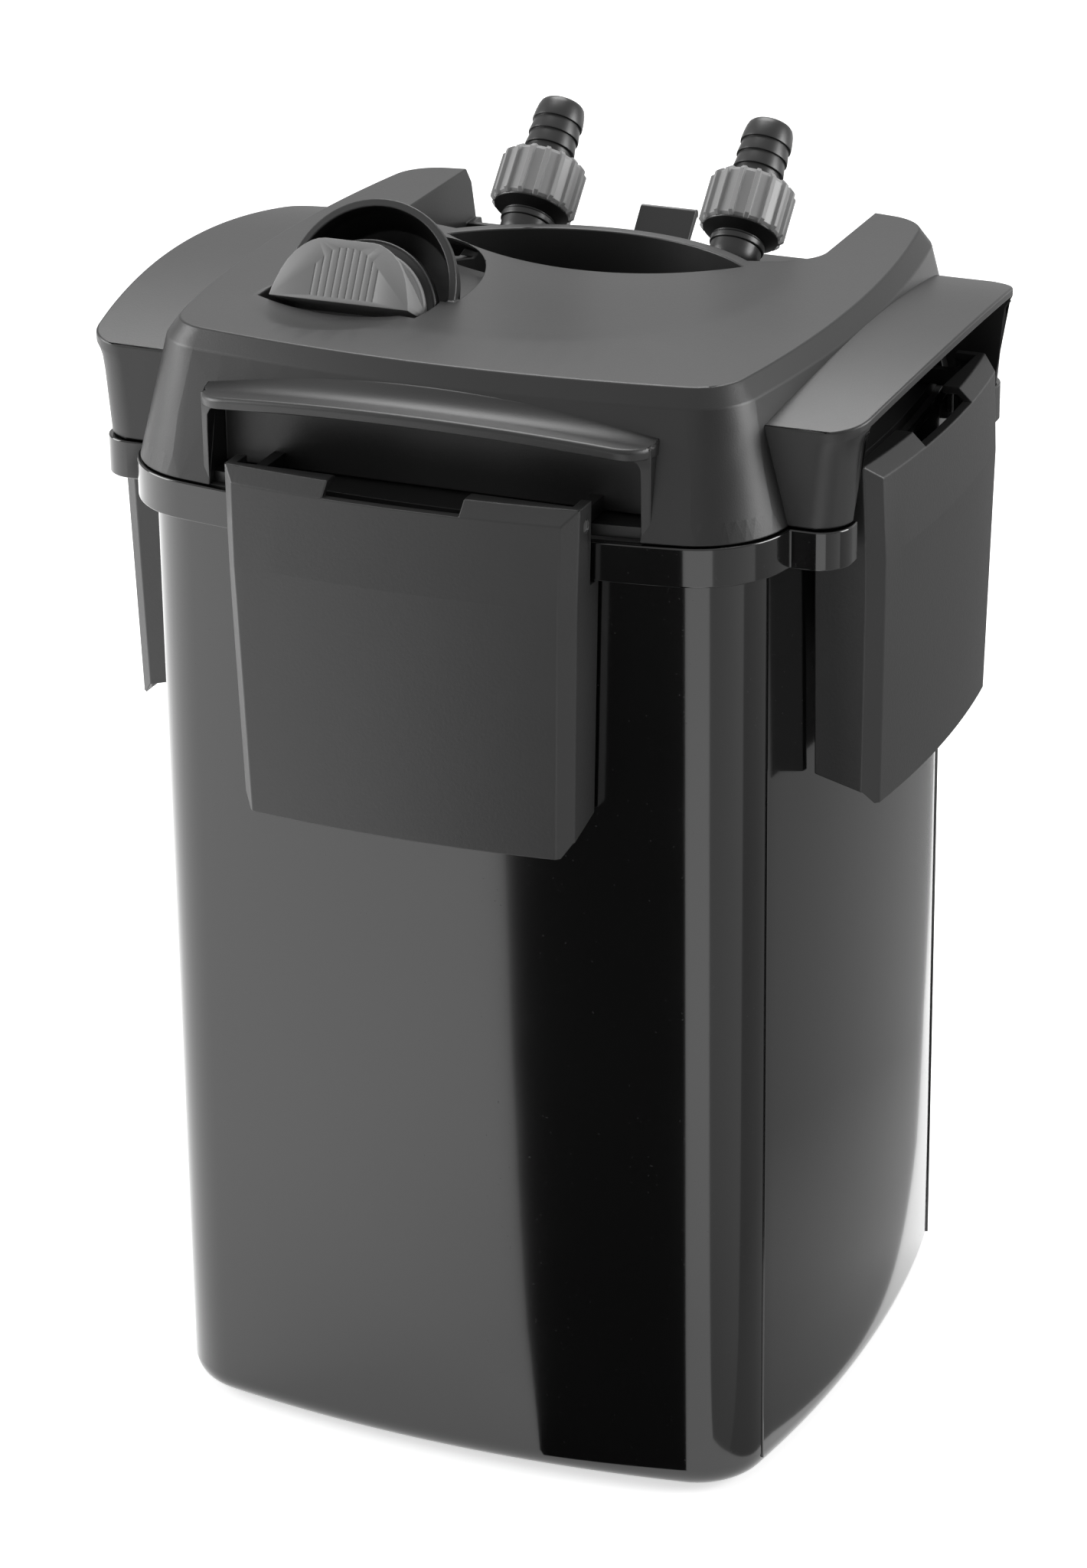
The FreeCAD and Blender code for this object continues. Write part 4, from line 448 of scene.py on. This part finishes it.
def satin(name, low, high, rough, grain_depth, grain=0.62):
    """Moulded plastic with a fine grain, faint flow marks and edges that catch the light."""
    made = Finish(name)
    flow = made.noise(45.0, 3.0)
    fine = made.noise(grain, 3.0)
    edges = made.node("ShaderNodeBevel", {"samples": 4}, {"Radius": 0.0004})
    return made.surface({
        "Base Color": made.mix(flow, grey(low), grey(high)),
        "Roughness": rough - 0.04 + 0.08 * flow + 0.06 * fine,
        "IOR": 1.6,
        "Normal": made.bump(fine, 0.55, grain_depth, Normal=edges)})


basket_satin = satin("basket_grey", 0.03, 0.045, 0.5, 0.04)
dress(basket_satin, "basket_1", "basket_2", "basket_3", "basket_4", "basket_lid", "down_pipe")


# Sponges: a coarse blue one lies in the lowest basket and a fine white one in the highest.
# Each is a block of open foam, cut to the basket, with a hole for the sleeve.

sleeve_place, sleeve_radius = (-40.0, 64.0), 14.8
sponge_half = 107.0


def foam(name, cell, dark, light):
    """Open-cell foam: lighter threads round darker cells, with cells of `cell` millimetres. The darker
    cells are painted shade in the open pores.
    """
    made = Finish(name)
    where = made.node("ShaderNodeTexCoord", output="Object")
    cells = made.node("ShaderNodeTexVoronoi", {"feature": "DISTANCE_TO_EDGE"},
                      {"Vector": where, "Scale": 1000 / cell})
    # Painted shade: the colour darkens from each thread into the middle of its cell, where the open pore
    # lies in shade.
    threads = made.ramp(cells, (0.0, 1.0), (0.16, 0.15), (0.4, 0.0))
    return made.surface({
        "Base Color": made.mix(threads, dark, light),
        "Roughness": 0.95 - 0.15 * threads,
        "Normal": made.bump(threads, 0.9, cell * 0.3)})


def sponge(name, node, low, high, finish, dents):
    """A block of foam between two heights, whose surface is uneven by up to `dents` millimetres."""
    bm = bmesh.new()
    hole = [(sleeve_place[0] + sleeve_radius * x, sleeve_place[1] + sleeve_radius * y)
            for x, y in arc(1, 23, 0, 345)]
    loops = [[bm.verts.new((x, y, low)) for x, y in loop]
             for loop in (bowed_square(sponge_half, 20, 6), hole)]
    rims = [bm.edges.new((loop[step - 1], loop[step])) for loop in loops for step in range(len(loop))]
    flat = bmesh.ops.triangle_fill(bm, edges=rims, use_beauty=True)["geom"]
    faces = [item for item in flat if isinstance(item, bmesh.types.BMFace)]
    raised = bmesh.ops.extrude_face_region(bm, geom=faces)["geom"]
    upper = [item for item in raised if isinstance(item, bmesh.types.BMVert)]
    bmesh.ops.translate(bm, vec=(0, 0, high - low), verts=upper)
    block = piece(name, bm, finish)
    remesh = block.modifiers.new("remesh", "REMESH")
    remesh.mode = "VOXEL"
    remesh.voxel_size = 0.003
    settled(block, 180)
    normals = [vert.normal.copy() for vert in block.data.vertices]
    for vert, normal in zip(block.data.vertices, normals):
        vert.co -= normal * 0.001 * dents * (0.5 + 0.5 * noise.noise(vert.co * 160))
    block.data.materials.clear()
    block.data.materials.append(finish)
    return fitted(block, "casing", "sponge", node)


# Each foam's first colour is the painted shade in its open cells, and the second is the colour of its
# threads.
blue_foam = foam("coarse_foam", 1.6, (0.005, 0.02, 0.07, 1), (0.03, 0.14, 0.42, 1))
sponge("coarse_foam", "coarse_sponge", 16.9, 48.8, blue_foam, 1.4)
sponge("fine_foam", "fine_sponge", 230.8, 294.6, foam("fine_foam", 0.8, grey(0.42), grey(0.78)), 0.8)


# Loose media: short rings of white ceramic and balls of fired clay, tipped into the two baskets
# between the sponges. They lie as they fell, clear of the sleeve.

class Growth(Graph):
    """A geometry tree with named inputs, run on a piece and then made part of its mesh."""

    def __init__(self, name, **inputs):
        super().__init__(bpy.data.node_groups.new(name, "GeometryNodeTree"))
        self.values = {}
        self.tree.interface.new_socket("Geometry", in_out="INPUT", socket_type="NodeSocketGeometry")
        self.tree.interface.new_socket("Geometry", in_out="OUTPUT", socket_type="NodeSocketGeometry")
        kinds = {int: "NodeSocketInt", float: "NodeSocketFloat"}
        for label, value in inputs.items():
            kind = kinds.get(type(value), "NodeSocketMaterial")
            socket = self.tree.interface.new_socket(label, in_out="INPUT", socket_type=kind)
            self.values[socket.identifier] = value
        self.source = self.tree.nodes.new("NodeGroupInput")

    def given(self, label):
        return Reading(self, self.source.outputs[label])

    def triple(self, x=0.0, y=0.0, z=0.0):
        return self.node("ShaderNodeCombineXYZ", {}, {0: x, 1: y, 2: z})

    def scattered(self, low, high, seed):
        """A random vector for each point, between two others."""
        sockets = {0: low, 1: high, "Seed": seed}
        return self.node("FunctionNodeRandomValue", {"data_type": "FLOAT_VECTOR"}, sockets)

    def run(self, made, shape):
        """Ends the tree in real geometry with its finish, and settles it into the piece."""
        shape = self.node("GeometryNodeRealizeInstances", {}, {0: shape})
        shape = self.node("GeometryNodeSetMaterial", {}, {
            "Geometry": shape, "Material": self.given("finish")})
        self.node("NodeGroupOutput", {}, {0: shape})
        grown = made.modifiers.new(self.tree.name, "NODES")
        grown.node_group = self.tree
        for identifier, value in self.values.items():
            grown[identifier] = value
        return settled(made)


def loose(name, outline, low, layers, pitch, shape_of, finish, tumble):
    """Layers of loose pieces inside an outline, jittered and turned from a fixed seed."""
    growth = Growth(name, layers=layers, pitch=pitch, tumble=tumble, jitter=pitch * 0.1, finish=finish)
    rows = int(2 * outline / (pitch * 1000)) + 1
    size = (rows - 1) * pitch
    grid = growth.node("GeometryNodeMeshGrid", {}, {
        "Size X": size, "Size Y": size, "Vertices X": rows, "Vertices Y": rows})
    line = growth.node("GeometryNodeMeshLine", {}, {
        "Count": growth.given("layers"), "Start Location": (0, 0, low * 0.001),
        "Offset": growth.triple(0.0, 0.0, growth.given("pitch"))})
    stack = growth.node("GeometryNodeInstanceOnPoints", {}, {"Points": line, "Instance": grid})
    stack = growth.node("GeometryNodeRealizeInstances", {}, {0: stack})
    stray = growth.given("jitter")
    least, most = growth.triple(0 - stray, 0 - stray, 0 - stray), growth.triple(stray, stray, stray)
    shift = growth.scattered(least, most, 4)
    stack = growth.node("GeometryNodeSetPosition", {}, {"Geometry": stack, "Offset": shift})
    where = growth.node("GeometryNodeInputPosition")
    flat = growth.node("ShaderNodeVectorMath", {"operation": "MULTIPLY"}, {0: where, 1: (1, 1, 0)})
    sleeve = (sleeve_place[0] * 0.001, sleeve_place[1] * 0.001, 0)
    off_sleeve = growth.node("ShaderNodeVectorMath", {"operation": "DISTANCE"}, {0: flat, 1: sleeve},
                             output="Value")
    near = growth.node("FunctionNodeCompare", {"data_type": "FLOAT", "operation": "LESS_THAN"}, {
        0: off_sleeve, 1: sleeve_radius * 0.001 + pitch * 0.65})
    stack = growth.node("GeometryNodeDeleteGeometry", {}, {"Geometry": stack, "Selection": near})
    bend = growth.given("tumble")
    lean = growth.scattered(growth.triple(0 - bend, 0 - bend, 0.0), growth.triple(bend, bend, 6.28), 9)
    heap = growth.node("GeometryNodeInstanceOnPoints", {}, {
        "Points": stack, "Instance": shape_of(growth), "Rotation": lean})
    return growth.run(piece(name, bmesh.new(), finish), heap)


def ring_shape(growth):
    """A short ceramic tube, with few faces."""
    bore, outer, length = 0.0042, 0.0072, 0.014
    circle = growth.node("GeometryNodeCurvePrimitiveCircle", {}, {
        "Resolution": 12, "Radius": (bore + outer) / 2})
    wall = growth.node("GeometryNodeCurvePrimitiveQuadrilateral", {}, {
        "Width": outer - bore, "Height": length})
    return growth.node("GeometryNodeCurveToMesh", {}, {"Curve": circle, "Profile Curve": wall})


def ball_shape(growth):
    """A fired ball, with few faces."""
    ball = growth.node("GeometryNodeMeshIcoSphere", {}, {"Radius": 0.0088, "Subdivisions": 3})
    return growth.node("GeometryNodeSetShadeSmooth", {}, {"Geometry": ball})


def fired(name, dark, light, pore):
    """Porous fired ceramic."""
    made = Finish(name)
    pores = made.noise(pore, 4.0)
    return made.surface({
        "Base Color": made.mix(pores, dark, light),
        "Roughness": 0.8 + 0.15 * pores,
        "Normal": made.bump(pores, 0.8, 0.25)})


ceramic = fired("white_ceramic", grey(0.55, 0.05), grey(0.75, 0.04), 0.9)
clay = fired("fired_clay", (0.18, 0.085, 0.045, 1), (0.32, 0.16, 0.09, 1), 1.4)
rings = loose("ceramic_rings", 94.0, 97.0, 3, 0.0182, ring_shape, ceramic, 1.2)
balls = loose("clay_balls", 96.0, 169.0, 3, 0.0205, ball_shape, clay, 3.0)
fitted(rings, "casing", "filter_media", "ring_media")
fitted(balls, "casing", "filter_media", "ball_media")


# Head: one large moulding in satin black with a fine grain, screwed to a base of the same plastic.
# Its deck is bevelled and dished, with a round bowl behind the knob, a finger recess with its bar,
# and an open bay for the hoses, which a thin web parts from the recess.

head_satin = satin("satin_black", 0.005, 0.007, 0.38, 0.05)


def copied(node):
    """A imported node's shape in millimetres, with its triangles merged."""
    bm = bmesh.new()
    bm.from_mesh(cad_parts[node].data)
    bmesh.ops.remove_doubles(bm, verts=bm.verts, dist=1e-6)
    bmesh.ops.scale(bm, vec=(1000, 1000, 1000), verts=bm.verts)
    return bm


cover = piece("head_moulding", copied("head_cover"), head_satin, 16)
fitted(settled(softened(cover, 0.5, 16), 16), "casing", "head_plastic", "head_cover")
dress(head_satin, "head_base", "latch_brackets")
bm = bmesh.new()
plate(bm, [(-68, 45.2), (-45, 45.2), (-45, 46.8), (-68, 46.8)], 380, 395.4)
fitted(settled(softened(piece("bay_web", bm, head_satin), 0.3)), "casing", "head_plastic", "head_cover")


# Side hoods: a roof over the left latch and one over the right, moulded with the head. Each is
# bowed outwards and crowned along its length, and stands on a leg at either end.

hood_half, hood_gap, hood_reach, hood_root = 86.0, 73.5, 145.0, 101.0
hood_crown, hood_foot, hood_thick = 398.8, 356.3, 3.2
hood_bow, hood_rise, hood_corner = 7.5, 9.0, 12.0
leg_reach, leg_lean, flare_start = 134.1, 2.6, 0.7


def fall(place, rise, half):
    """How far a shallow arc over a length of twice `half` has fallen at a place along it."""
    radius = (half ** 2 + rise ** 2) / (2 * rise)
    return radius - math.sqrt(radius ** 2 - place ** 2)


def rounded_off(place, half, corner):
    """How far a rounded corner draws an edge back at a place along it."""
    over = min(max(abs(place) - half + corner, 0.0), corner)
    return corner - math.sqrt(corner ** 2 - over ** 2)


def hood_slice(side, y):
    """The hood cut across: a leg that flares into the roof near either end, the roof alone between."""
    drawn_back = rounded_off(y, hood_half, hood_corner)
    front = hood_reach - fall(y, hood_bow, hood_half) - drawn_back
    top = hood_crown - fall(y, hood_rise, hood_half)
    low = top - hood_thick
    leg = min(front, leg_reach - drawn_back)
    levels = []
    for part in (0.0, 0.35, 0.7, 0.86, 0.93, 0.97, 1.0):
        flare = (front - leg - leg_lean) * (max(part - flare_start, 0.0) / (1 - flare_start)) ** 3
        levels.append((leg + leg_lean * part + flare, hood_foot + (low - hood_foot) * part))
    if abs(y) < hood_gap:
        levels = [(front, low)] * len(levels)
    levels += [(front, top), (hood_root, top), (hood_root, levels[0][1])]
    return [(side * x, y, z) for x, z in levels]


steps = [hood_half * math.sin(math.radians(angle)) for angle in range(-90, 91, 3)]
steps = [place for place in steps if abs(abs(place) - hood_gap) > 0.6]
steps += [end * hood_gap + shift for end in (-1, 1) for shift in (-0.01, 0.01)]
steps.sort()
for side, name in ((-1, "left"), (1, "right")):
    bm = bmesh.new()
    skin(bm, [hood_slice(side, y) for y in steps])
    hood = settled(softened(piece(f"{name}_hood", bm, head_satin), 0.7))
    fitted(hood, "casing", "head_plastic", f"side_hood_{name}")


# Front visor: a thin brim over the front latch, moulded with the head. It sweeps out of the wall
# in a hollow curve, ends in a rounded lip, and has a cheek down to the collar at either end.

visor_half, visor_reach, visor_bow, visor_crown, visor_rise = 80.5, 128.5, 6.5, 393.4, 5.2
visor_thick, visor_lip, visor_corner, visor_sweep = 3.9, 1.6, 11.0, 9.0
wall_front, wall_bow, deck_edge, deck_rise = 112.9, 517.0, 398.6, 8.5
cheek_thick, cheek_fillet = 3.4, 5.0


def visor_front(x):
    """Place of the visor's front edge, with its ends rounded off seen from above."""
    return fall(x, visor_bow, visor_half) + rounded_off(x, visor_half, visor_corner) - visor_reach


def visor_slice(x):
    """The visor cut from front to rear."""
    front, top = visor_front(x), visor_crown - fall(x, visor_rise, visor_half)
    climb = deck_edge - fall(x, deck_rise, visor_half) - top
    wall = x ** 2 / (2 * wall_bow) - wall_front
    line = [(front + visor_lip - visor_lip * out, top - visor_lip + visor_lip * up)
            for out, up in arc(1, 5)]
    for number in range(7):
        y = max(wall - visor_sweep + 1.5 * number, front + 1.7 + 0.05 * number)
        line.append((y, top + climb * max(1 - (wall - y) / visor_sweep, 0.0) ** 2))
    line += [(wall + 4, line[-1][1]), (wall + 4, top - visor_thick), (front + 0.3, top - visor_thick)]
    return [(x, y, z) for y, z in line]


bm = bmesh.new()
skin(bm, [visor_slice(visor_half * math.sin(math.radians(angle))) for angle in range(-90, 91, 3)])
roof = visor_crown - fall(visor_half - 3, visor_rise, visor_half) - visor_thick
cheek_front = visor_front(visor_half - 2.4) + 1.2
for side in (-1, 1):
    levels = []
    for z in (356.5, 365, 375, 381, 383, 384.6, 385.8, 386.6, 387.2, 388.0):
        near = max(z - roof + cheek_fillet, 0.0)
        rounding = cheek_fillet - math.sqrt(max(cheek_fillet ** 2 - near ** 2, 0.0))
        inner, outer = visor_half - cheek_thick - rounding, visor_half - 0.5
        levels.append([(side * inner, cheek_front, z), (side * outer, cheek_front + 1.6, z),
                       (side * outer, -100.0, z), (side * inner, -100.0, z)])
    skin(bm, levels)
fitted(settled(softened(piece("visor", bm, head_satin), 0.4)), "casing", "head_plastic", "front_visor")


# Latches: four wide clamps in satin black, each a bowed plate with flanges that hook under the
# collar. They hang on steel pins in brackets on the head. The screws are of the same steel.

latch_satin = satin("latch_black", 0.006, 0.009, 0.42, 0.09, 1.1)
for side in ("front", "right", "rear", "left"):
    latch = piece(f"{side}_latch", copied(f"latch_{side}"), latch_satin, 20)
    fitted(settled(softened(latch, 0.4, 20), 20), f"latch_{side}_body", "latch_plastic", f"latch_{side}")

metal = Finish("steel")
brushed = metal.noise(0.4, 2.0, (1, 12, 12))
steel = metal.surface({
    "Base Color": metal.mix(brushed, grey(0.45), grey(0.6)),
    "Metallic": 1.0,
    "Roughness": 0.25 + 0.15 * brushed,
    "Normal": metal.bump(brushed, 0.3, 0.02)})
dress(steel, "latch_pins", "motor_screws", "pump_cover_screws", "cover_screws")


# Flow knob: a mid grey moulding, a round drum with a D-shaped grip that has ten fine grooves and
# is cut away to a wedge underneath. It turns in the well in front of the bowl, in a black ring.

knob_satin = satin("knob_grey", 0.205, 0.23, 0.38, 0.02)
knob_place = Matrix(((1, 0, 0, -55.5), (0, 0.5, -0.866025, -60.0), (0, 0.866025, 0.5, 404.0), (0, 0, 0, 1)))


def crosswise(bm, outline, half):
    """A solid of one outline in y and z, as wide as twice `half` in x."""
    skin(bm, [[(x, y, z) for y, z in outline] for x in (-half, half)])


half_grip = [(-25.8, 0.9), (-25.3, 3.6), (-24.4, 6.6), (-23.2, 10.2), (-21.4, 13.9), (-19.2, 17.0),
             (-16.6, 19.4), (-14.0, 21.1), (-11.6, 22.1), (-9.0, 22.5), (-4.0, 22.5)]
bm = bmesh.new()
plate(bm, half_grip + [(-x, y) for x, y in reversed(half_grip)], -18.4, 0.0)
grip = piece("grip", bm, knob_satin)

groove_half, groove_depth, groove_foot = 0.17, 0.14, 2.6
grooves = [(-10.8, 13.1), (-8.3, 16.0), (-5.7, 18.4), (-3.0, 19.4), (-0.5, 19.6),
           (2.1, 19.5), (4.6, 19.2), (7.3, 17.9), (9.8, 15.9), (12.3, 13.4)]
bm = bmesh.new()
crosswise(bm, [(2.0, -18.0), (14.0, -2.6), (30.0, -2.6), (30.0, -20.0), (2.0, -20.0)], 30)
for x, top in grooves:
    lower = [(x + a, groove_foot + b) for a, b in arc(groove_half, 6, 180, 360)]
    upper = [(x + a, top + b) for a, b in arc(groove_half, 6, 0, 180)]
    plate(bm, lower + upper, -groove_depth, 1.0)
cut_away = piece("cut_away", bm, knob_satin)
trim = grip.modifiers.new("trim", "BOOLEAN")
trim.object = cut_away
trim.solver = "EXACT"
settled(grip)
settled(softened(grip, 0.12, 40, 2, False), 40)

bm = bmesh.new()
turned(bm, [(24.5, -23.0), (24.5, -18.8), (24.2, -18.2), (23.6, -18.0), (23.0, -18.4), (10.0, -18.4)], 96)
drum = settled(softened(piece("drum", bm, knob_satin), 0.3, 50, 2, False), 40)
bm = bmesh.new()
for part in (grip, drum):
    bm.from_mesh(part.data)
bmesh.ops.scale(bm, vec=(1000, 1000, 1000), verts=bm.verts)
bm.transform(knob_place)
for part in (grip, drum, cut_away):
    bpy.data.objects.remove(part)
fitted(piece("flow_knob", bm, knob_satin, 40), "knob", "knob_grey", "control_knob")

dark_satin = satin("black_plastic", 0.004, 0.006, 0.34, 0.03)
bm = bmesh.new()
turned(bm, [(27.9, -24.0), (27.9, -20.3), (27.4, -19.8), (26.8, -20.2), (10.0, -20.2)], 96)
bm.transform(knob_place)
fitted(settled(softened(piece("knob_ring", bm, dark_satin), 0.2)), "knob", "black_plastic", "control_knob")
dress(dark_satin, "knob_spindle")


# Hose block: a black plate with two stubs that bend back, dropped into the bay of the head. Each
# stub ends in a round collar, and a barbed hose tail stands on it.

slope = math.sqrt(0.5)
connector_out, connector_back, connector_height = 40.0, 64.0, 395.5


def on_connector(bm, side):
    """Moves a mesh, built upright, to the leaning axis of one of the two hose connectors."""
    bm.transform(Matrix(((1, 0, 0, connector_out * side), (0, slope, slope, connector_back),
                         (0, -slope, slope, connector_height), (0, 0, 0, 1))))
    return bm


block = settled(softened(piece("hose_block_moulding", copied("hose_block"), dark_satin), 0.4))
fitted(block, "casing", "black_plastic", "hose_block")
inlet_side = 1 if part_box("union_nut_inlet")[0][0] > 0 else -1
sides = ((inlet_side, "inlet"), (-inlet_side, "outlet"))
collar_profile = [(7.0, 3.0), (9.4, 3.0), (9.8, 3.4), (9.9, 5.2), (9.6, 5.7), (9.6, 6.1), (10.2, 6.3),
                  (13.6, 8.7), (13.8, 9.4), (7.0, 9.4)]
barbs = [(8.3, 25.0), (8.3, 33.3), (9.2, 33.4), (9.25, 33.9), (8.55, 38.7), (9.2, 38.8), (9.25, 39.3),
         (8.55, 44.1), (9.2, 44.2), (9.25, 44.8), (9.0, 47.6), (8.6, 50.0), (8.1, 51.5), (7.5, 52.2),
         (6.8, 52.5)]
bore = [(6.0, 52.3), (5.4, 51.6), (5.4, 25.0)]
for side, name in sides:
    bm = bmesh.new()
    turned(bm, collar_profile, 96)
    collar = settled(softened(piece(f"{name}_collar", on_connector(bm, side), dark_satin), 0.15))
    fitted(collar, "casing", "black_plastic", "hose_block")
    bm = bmesh.new()
    turned(bm, barbs + bore, 72, closed=True)
    tail = piece(f"{name}_tail", on_connector(bm, side), dark_satin, 38)
    fitted(tail, "casing", "black_plastic", f"hose_tail_{name}")


# Union nuts: mid grey mouldings screwed on the stubs, with sixteen flats and a narrow raised rib
# at every corner, and both ends chamfered.

nut_satin = satin("nut_grey", 0.23, 0.26, 0.36, 0.02)
nut_ribs, nut_flat, nut_ridge, nut_middle = 16, 14.2, 15.6, 15.55
for side, name in sides:
    outline = []
    for number in range(nut_ribs):
        for bend, radius in ((-4.3, nut_flat), (-2.9, nut_ridge), (2.9, nut_ridge), (4.3, nut_flat)):
            angle = math.radians(number * 360 / nut_ribs + bend)
            outline.append((radius * math.cos(angle), radius * math.sin(angle)))
    loops = [[(x * (1 - inset / nut_middle), y * (1 - inset / nut_middle), z) for x, y in outline]
             for inset, z in ((1.5, 9.0), (0.0, 10.5), (0.0, 27.2), (1.9, 29.0))]
    loops += [[(radius * x / math.hypot(x, y), radius * y / math.hypot(x, y), z) for x, y in outline]
              for radius, z in ((9.45, 29.0), (9.45, 26.2), (11.5, 26.0), (11.5, 9.0))]
    bm = bmesh.new()
    skin(bm, loops, True)
    nut = piece(f"{name}_nut", on_connector(bm, side), nut_satin, 22)
    fitted(settled(softened(nut, 0.1, 22, 1), 22), f"{name}_nut", "nut_grey", f"union_nut_{name}")


# Release slide: one black moulding that locks the hose block, a flat slab on a track with a
# leaning tab to push it by.

slide_low, slide_high = ([place * 1000 for place in corner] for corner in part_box("release_slide"))
low, top, end = slide_low[2], slide_high[2] - 1.54, slide_high[1]
slab_half, slab_front, slab_thick, tab_half = 12.7, 84.0, 2.4, 10.7
slab = [(slab_front, low), (end, low), (end, low + slab_thick), (slab_front, low + slab_thick)]
tab = [(86.5, low + 0.5), (88.7, low + 0.5), (103.7, top - 1.8), (105.0, top - 1.6),
       (105.3, top), (104.7, top + 1.2), (103.4, top + 1.54), (102.3, top + 1.1)]
bm = bmesh.new()
crosswise(bm, slab, slab_half)
crosswise(bm, tab, tab_half)
slide = settled(softened(piece("release_tab", bm, dark_satin), 0.25))
fitted(slide, "release", "black_plastic", "release_slide")


# Motor and pump: a laminated steel core with two copper coils round the rotor's well, in a black
# housing with a rubber gland at the rear. A ferrite magnet and an impeller turn on a ceramic
# shaft between two rubber bushes.

wound = Finish("copper_winding")
turns = wound.node("ShaderNodeTexCoord", output="Object")
turns = wound.node("ShaderNodeTexWave", {"bands_direction": "Z"},
                   {"Vector": turns, "Scale": 300.0, "Distortion": 0.6})
copper = wound.surface({
    "Base Color": wound.mix(turns, (0.25, 0.07, 0.02, 1), (0.6, 0.23, 0.09, 1)),
    "Metallic": 0.9,
    "Roughness": 0.32 + 0.15 * turns,
    "Normal": wound.bump(turns, 0.8, 0.3)})
dress(copper, "stator_coils")

stacked = Finish("lamination_steel")
sheets = stacked.node("ShaderNodeTexCoord", output="Object")
sheets = stacked.node("ShaderNodeTexWave", {"bands_direction": "X"}, {"Vector": sheets, "Scale": 320.0})
laminated = stacked.surface({
    "Base Color": stacked.mix(sheets, grey(0.16), grey(0.34)),
    "Metallic": 0.8,
    "Roughness": 0.42 + 0.12 * sheets,
    "Normal": stacked.bump(sheets, 0.5, 0.15)})
dress(laminated, "stator_core")

baked = Finish("ferrite")
crystal = baked.noise(1.5, 4.0)
ferrite = baked.surface({
    "Base Color": baked.mix(crystal, grey(0.03), grey(0.06, 0.03)),
    "Roughness": 0.5 + 0.2 * crystal,
    "Normal": baked.bump(crystal, 0.4, 0.05)})
dress(ferrite, "rotor_magnet")

dress(fired("shaft_ceramic", grey(0.62, 0.01), grey(0.74, 0.01), 0.8), "impeller_shaft")
dress(dark_satin, "motor_housing", "motor_cap", "pump_cover", "impeller")
dress(rubber, "shaft_bushes", "cable_gland")
